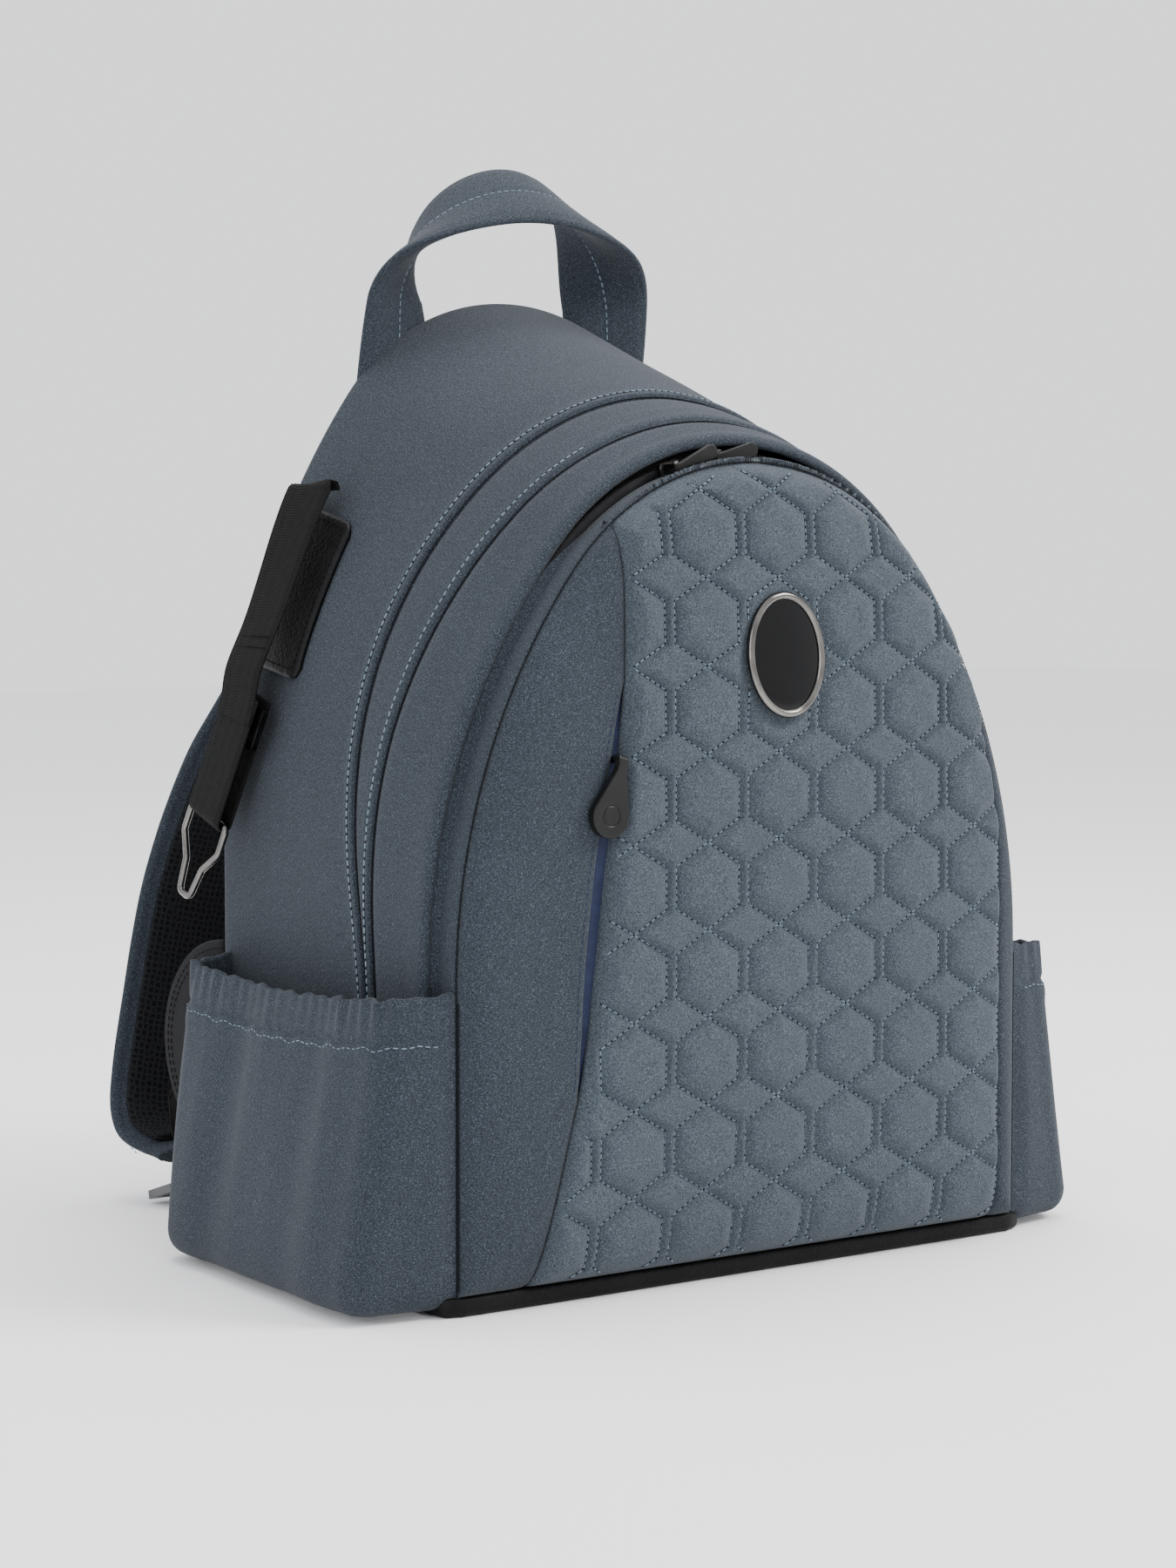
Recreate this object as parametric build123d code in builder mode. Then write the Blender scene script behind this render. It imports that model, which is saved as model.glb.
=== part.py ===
"""Changing backpack: an arched shell with a drop-down front, side pockets, handle, straps and clips.

Millimetres, +Z up. The origin is on the floor at the middle of the base. The front faces -Y, the
carrying straps are at +Y, and x = 0 is the plane through the middle of the arch.
"""
from build123d import *
from math import atan2, cos, pi, radians, sin
import os

os.makedirs("parts", exist_ok=True)

# ---------------------------------------------------------------- driving dimensions
BACK_Y = 95.0  # seam between the shell and the back panel
FLANGE_Y = -76.0  # free edge of the rain flange over the main zip
SEAM_Y = -90.0  # seam round the front panels
FLOOR = 8.0  # where the shell fabric meets the base cover
FABRIC = 3.0  # shell fabric with its foam backing
SKIN = 1.2  # lining fabric
GAP = 0.3  # clearance between pieces that move apart

# Each arch: half width, height of the straight sides, full height, radius of the crown
BACK_ARCH = (154.0, 178.0, 428.0, 108.0)
FLANGE_ARCH = (161.0, 140.0, 361.0, 124.0)
SEAM_ARCH = (153.0, 135.0, 350.0, 120.0)
ZIP_CENTRE_Z = SEAM_ARCH[2] - SEAM_ARCH[3]  # centre of the crown that the zip runs round

FOLD_Z = 132.0  # the front drops forward about this level
PANEL_BACK_Y = -86.0  # rear face of the front panels, where the pocket lining lies
PANEL_THICK = 5.0
BULGE_X = 12.0  # how far the front panels crown, seen from above
BULGE_Z = 14.0  # and seen from the side
PANEL_MID_Z = 179.0

SLIT_TOP = (-80.0, 258.0)  # front pocket slit, top and bottom, in x and z
SLIT_END = (-101.0, 85.0)
SLIT_GAPE = 7.0

POCKET_TOP_Z = 132.0
POCKET_HEM = 24.0
POCKET_FABRIC = 2.4

HANDLE_WIDTH = 42.0
HANDLE_THICK = 5.0
HANDLE_ROOT = (60.0, 100.5, 424.5)  # middle of a root at its hinge line
HANDLE_RISE = 51.0
HANDLE_TILT = 39.0  # turn of the grip's front edge below its back edge, in degrees

WEBBING = 1.8  # thickness of all webbing
CLIP_Y = 70.0  # middle of the pram strap, front to back
CLIP_WIDTH = 30.0
TRI_GLIDE_AT = (-159.0, 70.0, 243.0)
HOOK_LEAN = (-9.0, 15.0, -47.0)  # from the tri-glide down to the hook's bar
WIRE = 1.5  # radius of the hook wire

PAD_WIDTH = 62.0
PAD_THICK = 10.0
MESH_THICK = 3.0
WING_X = -152.3

BADGE_AT = (5.0, 268.0)
BADGE_WIDE = 42.0
BADGE_TALL = 54.0


# ---------------------------------------------------------------- shared shapes
def arch_face(y, arch, grow=0.0, floor=FLOOR):
    """A three-centred arch on a level sill, in the vertical plane at y, offset outwards by grow."""
    half_width = arch[0] + grow
    spring = arch[1]
    height = arch[2] + grow
    crown = arch[3] + grow
    sill = floor - grow
    rise = height - crown - spring
    side = (half_width**2 + rise**2 - crown**2) / (2 * (half_width - crown))
    side_x = half_width - side
    reach = side / (side - crown)
    tangent = (side_x * (1 - reach), spring + rise * reach)
    half_turn = atan2(rise, -side_x) / 2
    flank = (side_x + side * cos(half_turn), spring + side * sin(half_turn))
    with BuildSketch(Plane.XZ.offset(-y)) as sketch:
        with BuildLine():
            Line((-half_width, sill), (half_width, sill))
            Line((half_width, sill), (half_width, spring))
            ThreePointArc((half_width, spring), flank, tangent)
            ThreePointArc(tangent, (0, height), (-tangent[0], tangent[1]))
            ThreePointArc((-tangent[0], tangent[1]), (-flank[0], flank[1]), (-half_width, spring))
            Line((-half_width, spring), (-half_width, sill))
        make_face()
    return sketch.sketch


def envelope(grow=0.0, floor=FLOOR):
    """The body from the back seam to the flange, offset outwards by grow."""
    with BuildPart() as body:
        loft(
            [arch_face(BACK_Y, BACK_ARCH, grow, floor), arch_face(FLANGE_Y, FLANGE_ARCH, grow, floor)],
            ruled=True,
        )
    return body.part


def slice_between(solid, rear=None, front=None):
    """What of a solid lies ahead of the rear plane and behind the front plane; both face forwards."""
    with BuildPart() as piece:
        add(solid)
        if rear is not None:
            split(bisect_by=rear, keep=Keep.TOP)
        if front is not None:
            split(bisect_by=front, keep=Keep.BOTTOM)
    return piece.part


def section(at, along, across, width, low, high):
    """A rectangle square to a path: width across, from low to high on the side the strap faces."""
    way = along.normalized()
    side = (across - way * across.dot(way)).normalized()
    plane = Plane(origin=at, x_dir=side, z_dir=way)
    with BuildSketch(plane) as sketch:
        with Locations((0, (low + high) / 2)):
            Rectangle(width, high - low)
    return sketch.sketch


def strap_sections(path, across, width, low, high, count=24):
    """Sections at even steps of the smooth curve through a path, turning from across to across."""
    with BuildLine():
        route = Spline(*path)
    faces = []
    last = len(across) - 1
    for step in range(count + 1):
        place = step / count
        index = min(int(place * last), last - 1)
        share = place * last - index
        here = Vector(*across[index]) * (1 - share) + Vector(*across[index + 1]) * share
        faces.append(section(route @ place, route % place, here, width, low, high))
    return faces


def save(builder, label):
    """Name a finished piece and write it."""
    builder.part.label = label
    export_step(builder.part, f"parts/{label}.step")


def save_pair(builder, label):
    """Write a left piece and its mirror image on the right."""
    with BuildPart() as right:
        add(builder.part)
        mirror(about=Plane.YZ, mode=Mode.REPLACE)
    save(builder, f"{label}_left")
    save(right, f"{label}_right")


# ---------------------------------------------------------------- shell: three gussets, base, back
outer_body = envelope()
with BuildPart() as shell:
    add(outer_body)
    loft(
        [
            arch_face(BACK_Y, BACK_ARCH, -FABRIC, -FLOOR),
            arch_face(FLANGE_Y, FLANGE_ARCH, -FABRIC, -FLOOR),
        ],
        ruled=True,
        mode=Mode.SUBTRACT,
    )

REAR_SEAM = Plane.XZ.offset(18.0)
FRONT_SEAM = Plane(origin=(0, -30.0, 130.0), x_dir=(1, 0, 0), z_dir=(0, -240.0, -20.0))

with BuildPart() as rear_gusset:
    add(slice_between(shell.part, front=REAR_SEAM))
save(rear_gusset, "rear_gusset")

with BuildPart() as gusset_strip:
    add(slice_between(shell.part, rear=REAR_SEAM, front=FRONT_SEAM))
save(gusset_strip, "gusset_strip")

with BuildPart() as front_gusset:
    add(slice_between(shell.part, rear=FRONT_SEAM))
save(front_gusset, "front_gusset")

# Below the fold the shell's sides turn in to meet the front seam
with BuildPart() as corner_pair:
    loft(
        [arch_face(FLANGE_Y, FLANGE_ARCH), arch_face(PANEL_BACK_Y, SEAM_ARCH)],
        ruled=True,
    )
    loft(
        [
            arch_face(FLANGE_Y, FLANGE_ARCH, -FABRIC, -FLOOR),
            arch_face(PANEL_BACK_Y, SEAM_ARCH, -FABRIC, -FLOOR),
        ],
        ruled=True,
        mode=Mode.SUBTRACT,
    )
    split(bisect_by=Plane.XY.offset(FOLD_Z - 1.0), keep=Keep.BOTTOM)
with BuildPart() as front_corner:
    add(corner_pair)
    split(bisect_by=Plane.YZ, keep=Keep.BOTTOM)
save_pair(front_corner, "front_corner")

with BuildPart() as main_lining:
    loft(
        [
            arch_face(BACK_Y - 1.0, BACK_ARCH, -FABRIC - 0.2),
            arch_face(FLANGE_Y + 12.0, FLANGE_ARCH, -FABRIC + 1.0),
        ],
        ruled=True,
    )
    loft(
        [
            arch_face(BACK_Y - 1.0, BACK_ARCH, -FABRIC - 0.2 - SKIN, -FLOOR),
            arch_face(FLANGE_Y + 12.0, FLANGE_ARCH, -FABRIC + 1.0 - SKIN, -FLOOR),
        ],
        ruled=True,
        mode=Mode.SUBTRACT,
    )
    add(shell, mode=Mode.SUBTRACT)
save(main_lining, "main_lining")

BASE_FRONT_Y = SEAM_Y + 1.0
BASE_BACK_Y = BACK_Y + 8.0
base_half_back = BACK_ARCH[0]
base_half_flange = FLANGE_ARCH[0]
base_half_front = SEAM_ARCH[0]


def base_outline(shrink):
    """Plan of the base, drawn in from the edge by shrink."""
    with BuildSketch(Plane.XY) as sketch:
        with BuildLine():
            Polyline(
                (-base_half_back + shrink, BASE_BACK_Y - shrink),
                (-base_half_flange + shrink, FLANGE_Y),
                (-base_half_front + shrink, BASE_FRONT_Y + shrink),
                (base_half_front - shrink, BASE_FRONT_Y + shrink),
                (base_half_flange - shrink, FLANGE_Y),
                (base_half_back - shrink, BASE_BACK_Y - shrink),
                close=True,
            )
        make_face()
        fillet(sketch.vertices().group_by(Axis.Y)[-1], 12.0)
    return sketch.sketch


with BuildPart() as base_cover:
    extrude(base_outline(0.0), amount=FLOOR)
    fillet(base_cover.edges().group_by(Axis.Z)[0], 4.0)
    with BuildSketch(Plane.XY.offset(4.0)) as tray:
        add(base_outline(3.5))
    extrude(amount=FLOOR, mode=Mode.SUBTRACT)
save(base_cover, "base_cover")

with BuildPart() as base_board:
    with BuildSketch(Plane.XY.offset(4.0)) as board:
        add(base_outline(8.0))
    extrude(amount=2.5)
save(base_board, "base_board")

BACK_PANEL_THICK = 11.0
with BuildPart() as handle_anchor:
    with BuildSketch(Plane.XZ.offset(-(HANDLE_ROOT[1] + HANDLE_THICK / 2))) as tabs:
        with Locations((-HANDLE_ROOT[0], 403.0), (HANDLE_ROOT[0], 403.0)):
            Rectangle(HANDLE_WIDTH, 36.0)
    extrude(amount=HANDLE_THICK)
save(handle_anchor, "handle_anchor")

with BuildPart() as back_panel:
    loft(
        [
            arch_face(BACK_Y, BACK_ARCH),
            arch_face(BACK_Y + BACK_PANEL_THICK, BACK_ARCH, -9.0, FLOOR - 4.0),
        ],
        ruled=True,
    )
    add(handle_anchor, mode=Mode.SUBTRACT)
save(back_panel, "back_panel")


def mesh_pad(centre_z, height):
    """A padded block of air mesh on the back panel."""
    with BuildPart() as pad:
        with BuildSketch(Plane.XZ.offset(-(BACK_Y + BACK_PANEL_THICK))):
            with Locations((0, centre_z)):
                RectangleRounded(190.0, height, 22.0)
        extrude(amount=-6.0, taper=20)
    return pad


back_mesh_pad_upper = mesh_pad(282.0, 130.0)
save(back_mesh_pad_upper, "back_mesh_pad_upper")
back_mesh_pad_lower = mesh_pad(120.0, 150.0)
save(back_mesh_pad_lower, "back_mesh_pad_lower")

POUCH_FLOOR = 20.0
POUCH_HEIGHT = 190.0
POUCH_DEPTH = 16.0


def pouch_plan(z, shrink):
    """Plan of the pouch on the inside of the back panel, drawn in by shrink."""
    with BuildSketch(Plane.XY.offset(z)) as plan:
        with BuildLine():
            Polyline(
                (shrink - 118.0, BACK_Y),
                (shrink - 112.0, BACK_Y - POUCH_DEPTH + shrink),
                (112.0 - shrink, BACK_Y - POUCH_DEPTH + shrink),
                (118.0 - shrink, BACK_Y),
                close=True,
            )
        make_face()
    return plan.sketch


with BuildPart() as inner_pocket:
    extrude(pouch_plan(POUCH_FLOOR, 0.0), amount=POUCH_HEIGHT)
    extrude(pouch_plan(POUCH_FLOOR + SKIN, SKIN), amount=POUCH_HEIGHT, mode=Mode.SUBTRACT)
save(inner_pocket, "inner_pocket")


# ---------------------------------------------------------------- side pockets
POCKET_FLOOR = 3.0
POCKET_CORNER = 14.0


def pocket_plan(z, shrink):
    """Plan of a left side pocket at height z: deep at the bottom, drawn in by the elastic at the top."""
    height = (z - POCKET_FLOOR) / (POCKET_TOP_Z - POCKET_FLOOR)
    front = -202.0 + 21.0 * height + shrink
    rear = -194.0 + 15.0 * height + shrink
    with BuildSketch(Plane.XY.offset(z)) as sketch:
        with BuildLine():
            Polyline(
                (-140.0, -86.0 + shrink),
                (front, -84.0 + shrink),
                (rear, 88.0 - shrink),
                (-140.0, 93.0 - shrink),
                close=True,
            )
        make_face()
        fillet(sketch.vertices().sort_by(Axis.X)[:2], POCKET_CORNER - shrink)
    return sketch.sketch


# The body that the pockets are sewn to, taken down to the floor
with BuildPart() as pocket_core:
    add(envelope(GAP / 3, -FLOOR))
    loft(
        [
            arch_face(FLANGE_Y, FLANGE_ARCH, GAP / 3, -FLOOR),
            arch_face(PANEL_BACK_Y - 2.0, SEAM_ARCH, GAP / 3, -FLOOR),
        ],
        ruled=True,
    )
    extrude(base_outline(-GAP / 3), amount=FLOOR + GAP)


def pocket_wall(low, high, outer, inner):
    """A standing band of the left pocket between two heights, open to the bag's side."""
    with BuildPart() as band:
        loft([pocket_plan(low, outer), pocket_plan(high, outer)], ruled=True)
        loft([pocket_plan(low, inner), pocket_plan(high, inner)], ruled=True, mode=Mode.SUBTRACT)
        add(pocket_core, mode=Mode.SUBTRACT)
    return band


HEM_Z = POCKET_TOP_Z - POCKET_HEM
POCKET_TURN = 11.0  # height of the rounded turn into the pocket's floor
with BuildPart() as side_pocket:
    loft(
        [
            pocket_plan(POCKET_FLOOR, 8.0),
            pocket_plan(POCKET_FLOOR + POCKET_TURN, 0.0),
            pocket_plan(HEM_Z, 0.0),
        ],
        ruled=True,
    )
    loft(
        [
            pocket_plan(POCKET_FLOOR + POCKET_FABRIC, 8.0 + POCKET_FABRIC),
            pocket_plan(POCKET_FLOOR + POCKET_TURN, POCKET_FABRIC),
            pocket_plan(HEM_Z, POCKET_FABRIC),
        ],
        ruled=True,
        mode=Mode.SUBTRACT,
    )
    add(pocket_core, mode=Mode.SUBTRACT)
save_pair(side_pocket, "side_pocket")

HEM_THICK = 3.0
pocket_hem = pocket_wall(HEM_Z, POCKET_TOP_Z, 0.0, HEM_THICK)
save_pair(pocket_hem, "pocket_hem")

pocket_elastic = pocket_wall(HEM_Z + 5.0, POCKET_TOP_Z - 5.0, HEM_THICK + 0.1, HEM_THICK + 1.5)
save_pair(pocket_elastic, "pocket_elastic")


# ---------------------------------------------------------------- front panels
def crowned(shift):
    """The front's outline filled out to the crowned outer surface, moved back by shift."""
    reach_x = SEAM_ARCH[0] + 20.0
    drop_x = BULGE_X * (reach_x / SEAM_ARCH[0]) ** 2
    reach_z = PANEL_MID_Z + 20.0
    drop_z = BULGE_Z * (reach_z / (PANEL_MID_Z - FLOOR)) ** 2
    with BuildPart() as across:
        with BuildSketch(Plane.XY):
            with BuildLine():
                peak = SEAM_Y - BULGE_X + shift
                arc = ThreePointArc((-reach_x, peak + drop_x), (0, peak), (reach_x, peak + drop_x))
                Polyline(arc @ 1, (reach_x, 0), (-reach_x, 0), arc @ 0)
            make_face()
        extrude(amount=2 * reach_z)
    with BuildPart() as upright:
        with BuildSketch(Plane.YZ):
            with BuildLine():
                peak = SEAM_Y - BULGE_Z + shift
                low = PANEL_MID_Z - reach_z
                high = PANEL_MID_Z + reach_z
                arc = ThreePointArc((peak + drop_z, low), (peak, PANEL_MID_Z), (peak + drop_z, high))
                Polyline(arc @ 1, (0, high), (0, low), arc @ 0)
            make_face()
        extrude(amount=reach_x, both=True)
    with BuildPart() as front:
        extrude(arch_face(PANEL_BACK_Y, SEAM_ARCH), amount=30.0)
        add(across, mode=Mode.INTERSECT)
        add(upright, mode=Mode.INTERSECT)
    return front.part


with BuildPart() as front_skin:
    add(crowned(0.0))
    add(crowned(PANEL_THICK), mode=Mode.SUBTRACT)

with BuildPart() as quilt_zone:
    with BuildSketch(Plane.XZ) as quilt_outline:
        with BuildLine():
            Polyline(
                (-82.0, 400.0),
                SLIT_TOP,
                SLIT_END,
                (-118.0, -10.0),
                (137.0, -10.0),
                (137.0, 190.0),
                (113.0, 295.0),
                (60.0, 400.0),
                close=True,
            )
        make_face()
    extrude(amount=150.0)

with BuildPart() as slit:
    with BuildSketch(Plane.XZ) as slit_outline:
        with BuildLine():
            Polyline(
                SLIT_TOP,
                (SLIT_TOP[0] + SLIT_GAPE, SLIT_TOP[1]),
                (SLIT_END[0] + SLIT_GAPE, SLIT_END[1]),
                SLIT_END,
                close=True,
            )
        make_face()
    extrude(amount=150.0)

ABOVE_FOLD = Plane.XY.offset(FOLD_Z + 0.7)
BELOW_FOLD = Plane.XY.offset(FOLD_Z - 0.7)


def save_folded(builder, label):
    """Write the part of a front piece above the fold and the part below it."""
    with BuildPart() as upper:
        add(builder)
        split(bisect_by=ABOVE_FOLD, keep=Keep.TOP)
    with BuildPart() as lower:
        add(builder)
        split(bisect_by=BELOW_FOLD, keep=Keep.BOTTOM)
    save(upper, f"{label}_upper")
    save(lower, f"{label}_lower")


with BuildPart() as quilted_panel:
    add(front_skin)
    add(quilt_zone, mode=Mode.INTERSECT)
    add(slit, mode=Mode.SUBTRACT)
save_folded(quilted_panel, "quilted_panel")

with BuildPart() as side_strip:
    add(front_skin)
    add(quilt_zone, mode=Mode.SUBTRACT)
    split(bisect_by=Plane.YZ, keep=Keep.BOTTOM)
save_folded(side_strip, "side_strip")

with BuildPart() as edge_strip:
    add(front_skin)
    add(quilt_zone, mode=Mode.SUBTRACT)
    split(bisect_by=Plane.YZ, keep=Keep.TOP)
save_folded(edge_strip, "edge_strip")

with BuildPart() as pocket_lining:
    extrude(arch_face(PANEL_BACK_Y, SEAM_ARCH, -FABRIC - 0.1), amount=-SKIN)
save_folded(pocket_lining, "pocket_lining")

# The pocket's zip tape is a loop sewn to the back of the panel, all round the slit
TAPE_WIDE = 16.0
TAPE_THICK = 1.2
TAPE_END = 5.0
with BuildPart() as tape_zone:
    with BuildSketch(Plane.XZ) as tape_outline:
        with BuildLine():
            left = (SLIT_GAPE - TAPE_WIDE) / 2
            right = left + TAPE_WIDE
            Polyline(
                (SLIT_TOP[0] + left, SLIT_TOP[1] + TAPE_END),
                (SLIT_TOP[0] + right, SLIT_TOP[1] + TAPE_END),
                (SLIT_END[0] + right, SLIT_END[1] - TAPE_END),
                (SLIT_END[0] + left, SLIT_END[1] - TAPE_END),
                close=True,
            )
        make_face()
    extrude(amount=150.0)
with BuildPart() as pocket_zip_tape:
    add(crowned(PANEL_THICK))
    add(crowned(PANEL_THICK + TAPE_THICK), mode=Mode.SUBTRACT)
    add(tape_zone, mode=Mode.INTERSECT)
    add(slit, mode=Mode.SUBTRACT)
save_folded(pocket_zip_tape, "pocket_zip_tape")

# ---------------------------------------------------------------- main zip
ZIP_CHAIN_Y = -71.3  # where the two halves of the chain meet, front half ahead of the rear half


def zip_ring(front_y, depth, outer, inner):
    """A band that follows the front seam above the fold, between two offsets from it."""
    with BuildPart() as ring:
        extrude(arch_face(front_y, SEAM_ARCH, outer, -FLOOR), amount=-depth)
        extrude(arch_face(front_y, SEAM_ARCH, inner, -2 * FLOOR), amount=-depth, mode=Mode.SUBTRACT)
        split(bisect_by=ABOVE_FOLD, keep=Keep.TOP)
    return ring


zip_band = zip_ring(PANEL_BACK_Y, 16.0, 0.0, -2.5)
save(zip_band, "zip_band")

zip_front_tape = zip_ring(ZIP_CHAIN_Y - 2.7, 2.5, 4.0, 0.0)
save(zip_front_tape, "zip_front_tape")

with BuildPart() as zip_rear_tape:
    add(zip_ring(ZIP_CHAIN_Y + 0.3, 2.5, 9.0, 1.0))
    add(envelope(-FABRIC, -FLOOR), mode=Mode.INTERSECT)
save(zip_rear_tape, "zip_rear_tape")

SLIDER_LENGTH = 11.0
SLIDER_WIDTH = 5.6
SLIDER_PLATE = 2.0
SLIDER_PLATE_Y = FLANGE_Y - 0.5
SLIDER_RADIUS = SEAM_ARCH[3] + 0.4 + SLIDER_WIDTH / 2
SLIDER_TURNS = {"left": -17.5, "right": -6.5}  # degrees round the crown from its top
PULL_Y = {"left": -83.2, "right": -80.4}  # level of each pull's pin
PULL_SHOULDER = 2.4
PULL_REACH = 18.0  # pin to the middle of the round end
PULL_HEAD = 4.2
PULL_INNER = 2.0  # how much flatter the round end is on the side of the panel
PULL_THICK = 2.4
PIN_RADIUS = 0.6
PIN_FIT = 0.1  # running clearance all round a pin
CHEEK = 1.0
CHEEK_INSIDE = 1.8  # from the middle of the slider to the inside of a cheek


def zip_plane(turn, y, radius):
    """A plane at y facing forwards, its x axis along the zip and its y axis out from the crown."""
    angle = radians(turn)
    return Plane(
        origin=(radius * sin(angle), y, ZIP_CENTRE_Z + radius * cos(angle)),
        x_dir=(cos(angle), 0, -sin(angle)),
        z_dir=(0, -1, 0),
    )


def pin_plane(turn, y):
    """A plane through the middle of a slider, square to the pin that its pull turns on."""
    angle = radians(turn)
    return Plane(
        origin=(SLIDER_RADIUS * sin(angle), y, ZIP_CENTRE_Z + SLIDER_RADIUS * cos(angle)),
        x_dir=(cos(angle), 0, -sin(angle)),
        z_dir=(sin(angle), 0, cos(angle)),
    )


def zip_slider(turn, pin_y):
    """A slider: foot over the chain, plate clear of the flange, two cheeks and the pull's pin."""
    cheek_height = SLIDER_PLATE_Y - SLIDER_PLATE - pin_y
    with BuildPart() as slider:
        with BuildSketch(zip_plane(turn, ZIP_CHAIN_Y - 3.0, SLIDER_RADIUS - 0.7)):
            RectangleRounded(SLIDER_LENGTH - 3.0, SLIDER_WIDTH - 1.4, 1.2)
        extrude(amount=ZIP_CHAIN_Y - 3.0 - SLIDER_PLATE_Y)
        with BuildSketch(zip_plane(turn, SLIDER_PLATE_Y, SLIDER_RADIUS)):
            RectangleRounded(SLIDER_LENGTH, SLIDER_WIDTH, 2.0)
        extrude(amount=SLIDER_PLATE)
        for side in (-1, 1):
            start = CHEEK_INSIDE if side > 0 else -CHEEK_INSIDE - CHEEK
            with BuildSketch(pin_plane(turn, pin_y).offset(start)):
                Circle(1.2)
                with Locations((0, cheek_height / 2)):
                    Rectangle(2.4, cheek_height)
            extrude(amount=CHEEK)
        with BuildSketch(pin_plane(turn, pin_y).offset(-CHEEK_INSIDE)):
            Circle(PIN_RADIUS)
        extrude(amount=2 * CHEEK_INSIDE)
    return slider


def zip_pull(turn, pin_y):
    """A moulded pull lying along the zip, with a round barrel that turns on the slider's pin."""
    neck = CHEEK_INSIDE - 0.2
    with BuildPart() as pull:
        with BuildSketch(zip_plane(turn, pin_y + PULL_THICK / 2, SLIDER_RADIUS)):
            with BuildLine():
                end = ThreePointArc(
                    (PULL_REACH, PULL_HEAD),
                    (PULL_REACH + PULL_HEAD, 0),
                    (PULL_REACH, PULL_INNER - PULL_HEAD),
                )
                Polyline(
                    end @ 1,
                    (PULL_SHOULDER, -neck),
                    (0, -neck),
                    (0, neck),
                    (PULL_SHOULDER, neck),
                    end @ 0,
                )
            make_face()
        extrude(amount=PULL_THICK)
        with BuildSketch(pin_plane(turn, pin_y).offset(-neck)):
            Circle(PULL_THICK / 2)
        extrude(amount=2 * neck)
        with BuildSketch(pin_plane(turn, pin_y).offset(-neck)):
            Circle(PIN_RADIUS + PIN_FIT)
        extrude(amount=2 * neck, mode=Mode.SUBTRACT)
    return pull


for side, turn in SLIDER_TURNS.items():
    save(zip_slider(turn, PULL_Y[side]), f"zip_slider_{side}")
    save(zip_pull(turn, PULL_Y[side]), f"zip_pull_{side}")

# ---------------------------------------------------------------- pocket slider and pull
POCKET_SLIDER_Z = 226.0
slit_lean = (SLIT_TOP[0] - SLIT_END[0]) / (SLIT_TOP[1] - SLIT_END[1])
slider_x = SLIT_TOP[0] - (SLIT_TOP[1] - POCKET_SLIDER_Z) * slit_lean + SLIT_GAPE / 2
along_slit = Vector(slit_lean, 0, 1).normalized()


def slit_plane(y):
    """A plane at y facing forwards with its y axis up the slit, centred on the pocket slider."""
    across_slit = (along_slit.Z, 0, -along_slit.X)
    return Plane(origin=(slider_x, y, POCKET_SLIDER_Z), x_dir=across_slit, z_dir=(0, -1, 0))


POCKET_PIN_Y = -103.4
POCKET_PIN = 0.8  # radius
POCKET_PULL_THICK = 3.6
POCKET_PULL_HEAD = 9.0
POCKET_PULL_REACH = 24.0  # from the pin to the middle of the round end
POCKET_NECK = 2.4  # half the width of the pull's neck
pull_lean = radians(17.0)
pull_across = (cos(pull_lean), 0, -sin(pull_lean))
pull_plane = Plane(origin=(slider_x, POCKET_PIN_Y, POCKET_SLIDER_Z), x_dir=pull_across, z_dir=(0, -1, 0))
pin_end_plane = Plane(origin=(slider_x, POCKET_PIN_Y, POCKET_SLIDER_Z), x_dir=(0, 1, 0), z_dir=pull_across)

with BuildPart() as pocket_slider:
    with BuildSketch(slit_plane(PANEL_BACK_Y - 2.0)):
        RectangleRounded(6.0, 12.0, 1.8)
    extrude(amount=4.0)
    with BuildSketch(slit_plane(PANEL_BACK_Y - 6.0)):
        RectangleRounded(5.0, 2.8, 1.0)
    extrude(amount=7.6)
    with BuildSketch(pull_plane.offset(-2.6)):
        RectangleRounded(2 * POCKET_NECK + 2.8, 2.8, 0.6)
    extrude(amount=-1.6)
    for side in (-1, 1):
        start = POCKET_NECK + 0.2 if side > 0 else -POCKET_NECK - 0.2 - 1.2
        with BuildSketch(pin_end_plane.offset(start)):
            Circle(1.4)
            with Locations((1.6, 0)):
                Rectangle(3.2, 2.8)
        extrude(amount=1.2)
    with BuildSketch(pin_end_plane.offset(-POCKET_NECK - 0.3)):
        Circle(POCKET_PIN)
    extrude(amount=2 * POCKET_NECK + 0.6)
save(pocket_slider, "pocket_slider")

with BuildPart() as pocket_pull:
    with BuildSketch(pull_plane.offset(-POCKET_PULL_THICK / 2)):
        with BuildLine():
            end = ThreePointArc(
                (-POCKET_PULL_HEAD, -POCKET_PULL_REACH + 2.0),
                (0, -POCKET_PULL_REACH - POCKET_PULL_HEAD),
                (POCKET_PULL_HEAD, -POCKET_PULL_REACH + 2.0),
            )
            Polyline(
                end @ 1,
                (POCKET_NECK, -4.5),
                (POCKET_NECK, 0),
                (-POCKET_NECK, 0),
                (-POCKET_NECK, -4.5),
                end @ 0,
            )
        make_face()
    extrude(amount=POCKET_PULL_THICK)
    with BuildSketch(pin_end_plane.offset(-POCKET_NECK)):
        Circle(POCKET_PULL_THICK / 2)
    extrude(amount=2 * POCKET_NECK)
    with BuildSketch(pin_end_plane.offset(-POCKET_NECK)):
        Circle(POCKET_PIN + PIN_FIT)
    extrude(amount=2 * POCKET_NECK, mode=Mode.SUBTRACT)
    with BuildSketch(pull_plane.offset(POCKET_PULL_THICK / 2)):
        with Locations((0, -POCKET_PULL_REACH + 0.5)):
            Circle(4.6)
            Circle(3.8, mode=Mode.SUBTRACT)
    extrude(amount=-0.6, mode=Mode.SUBTRACT)
save(pocket_pull, "pocket_pull")

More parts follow.
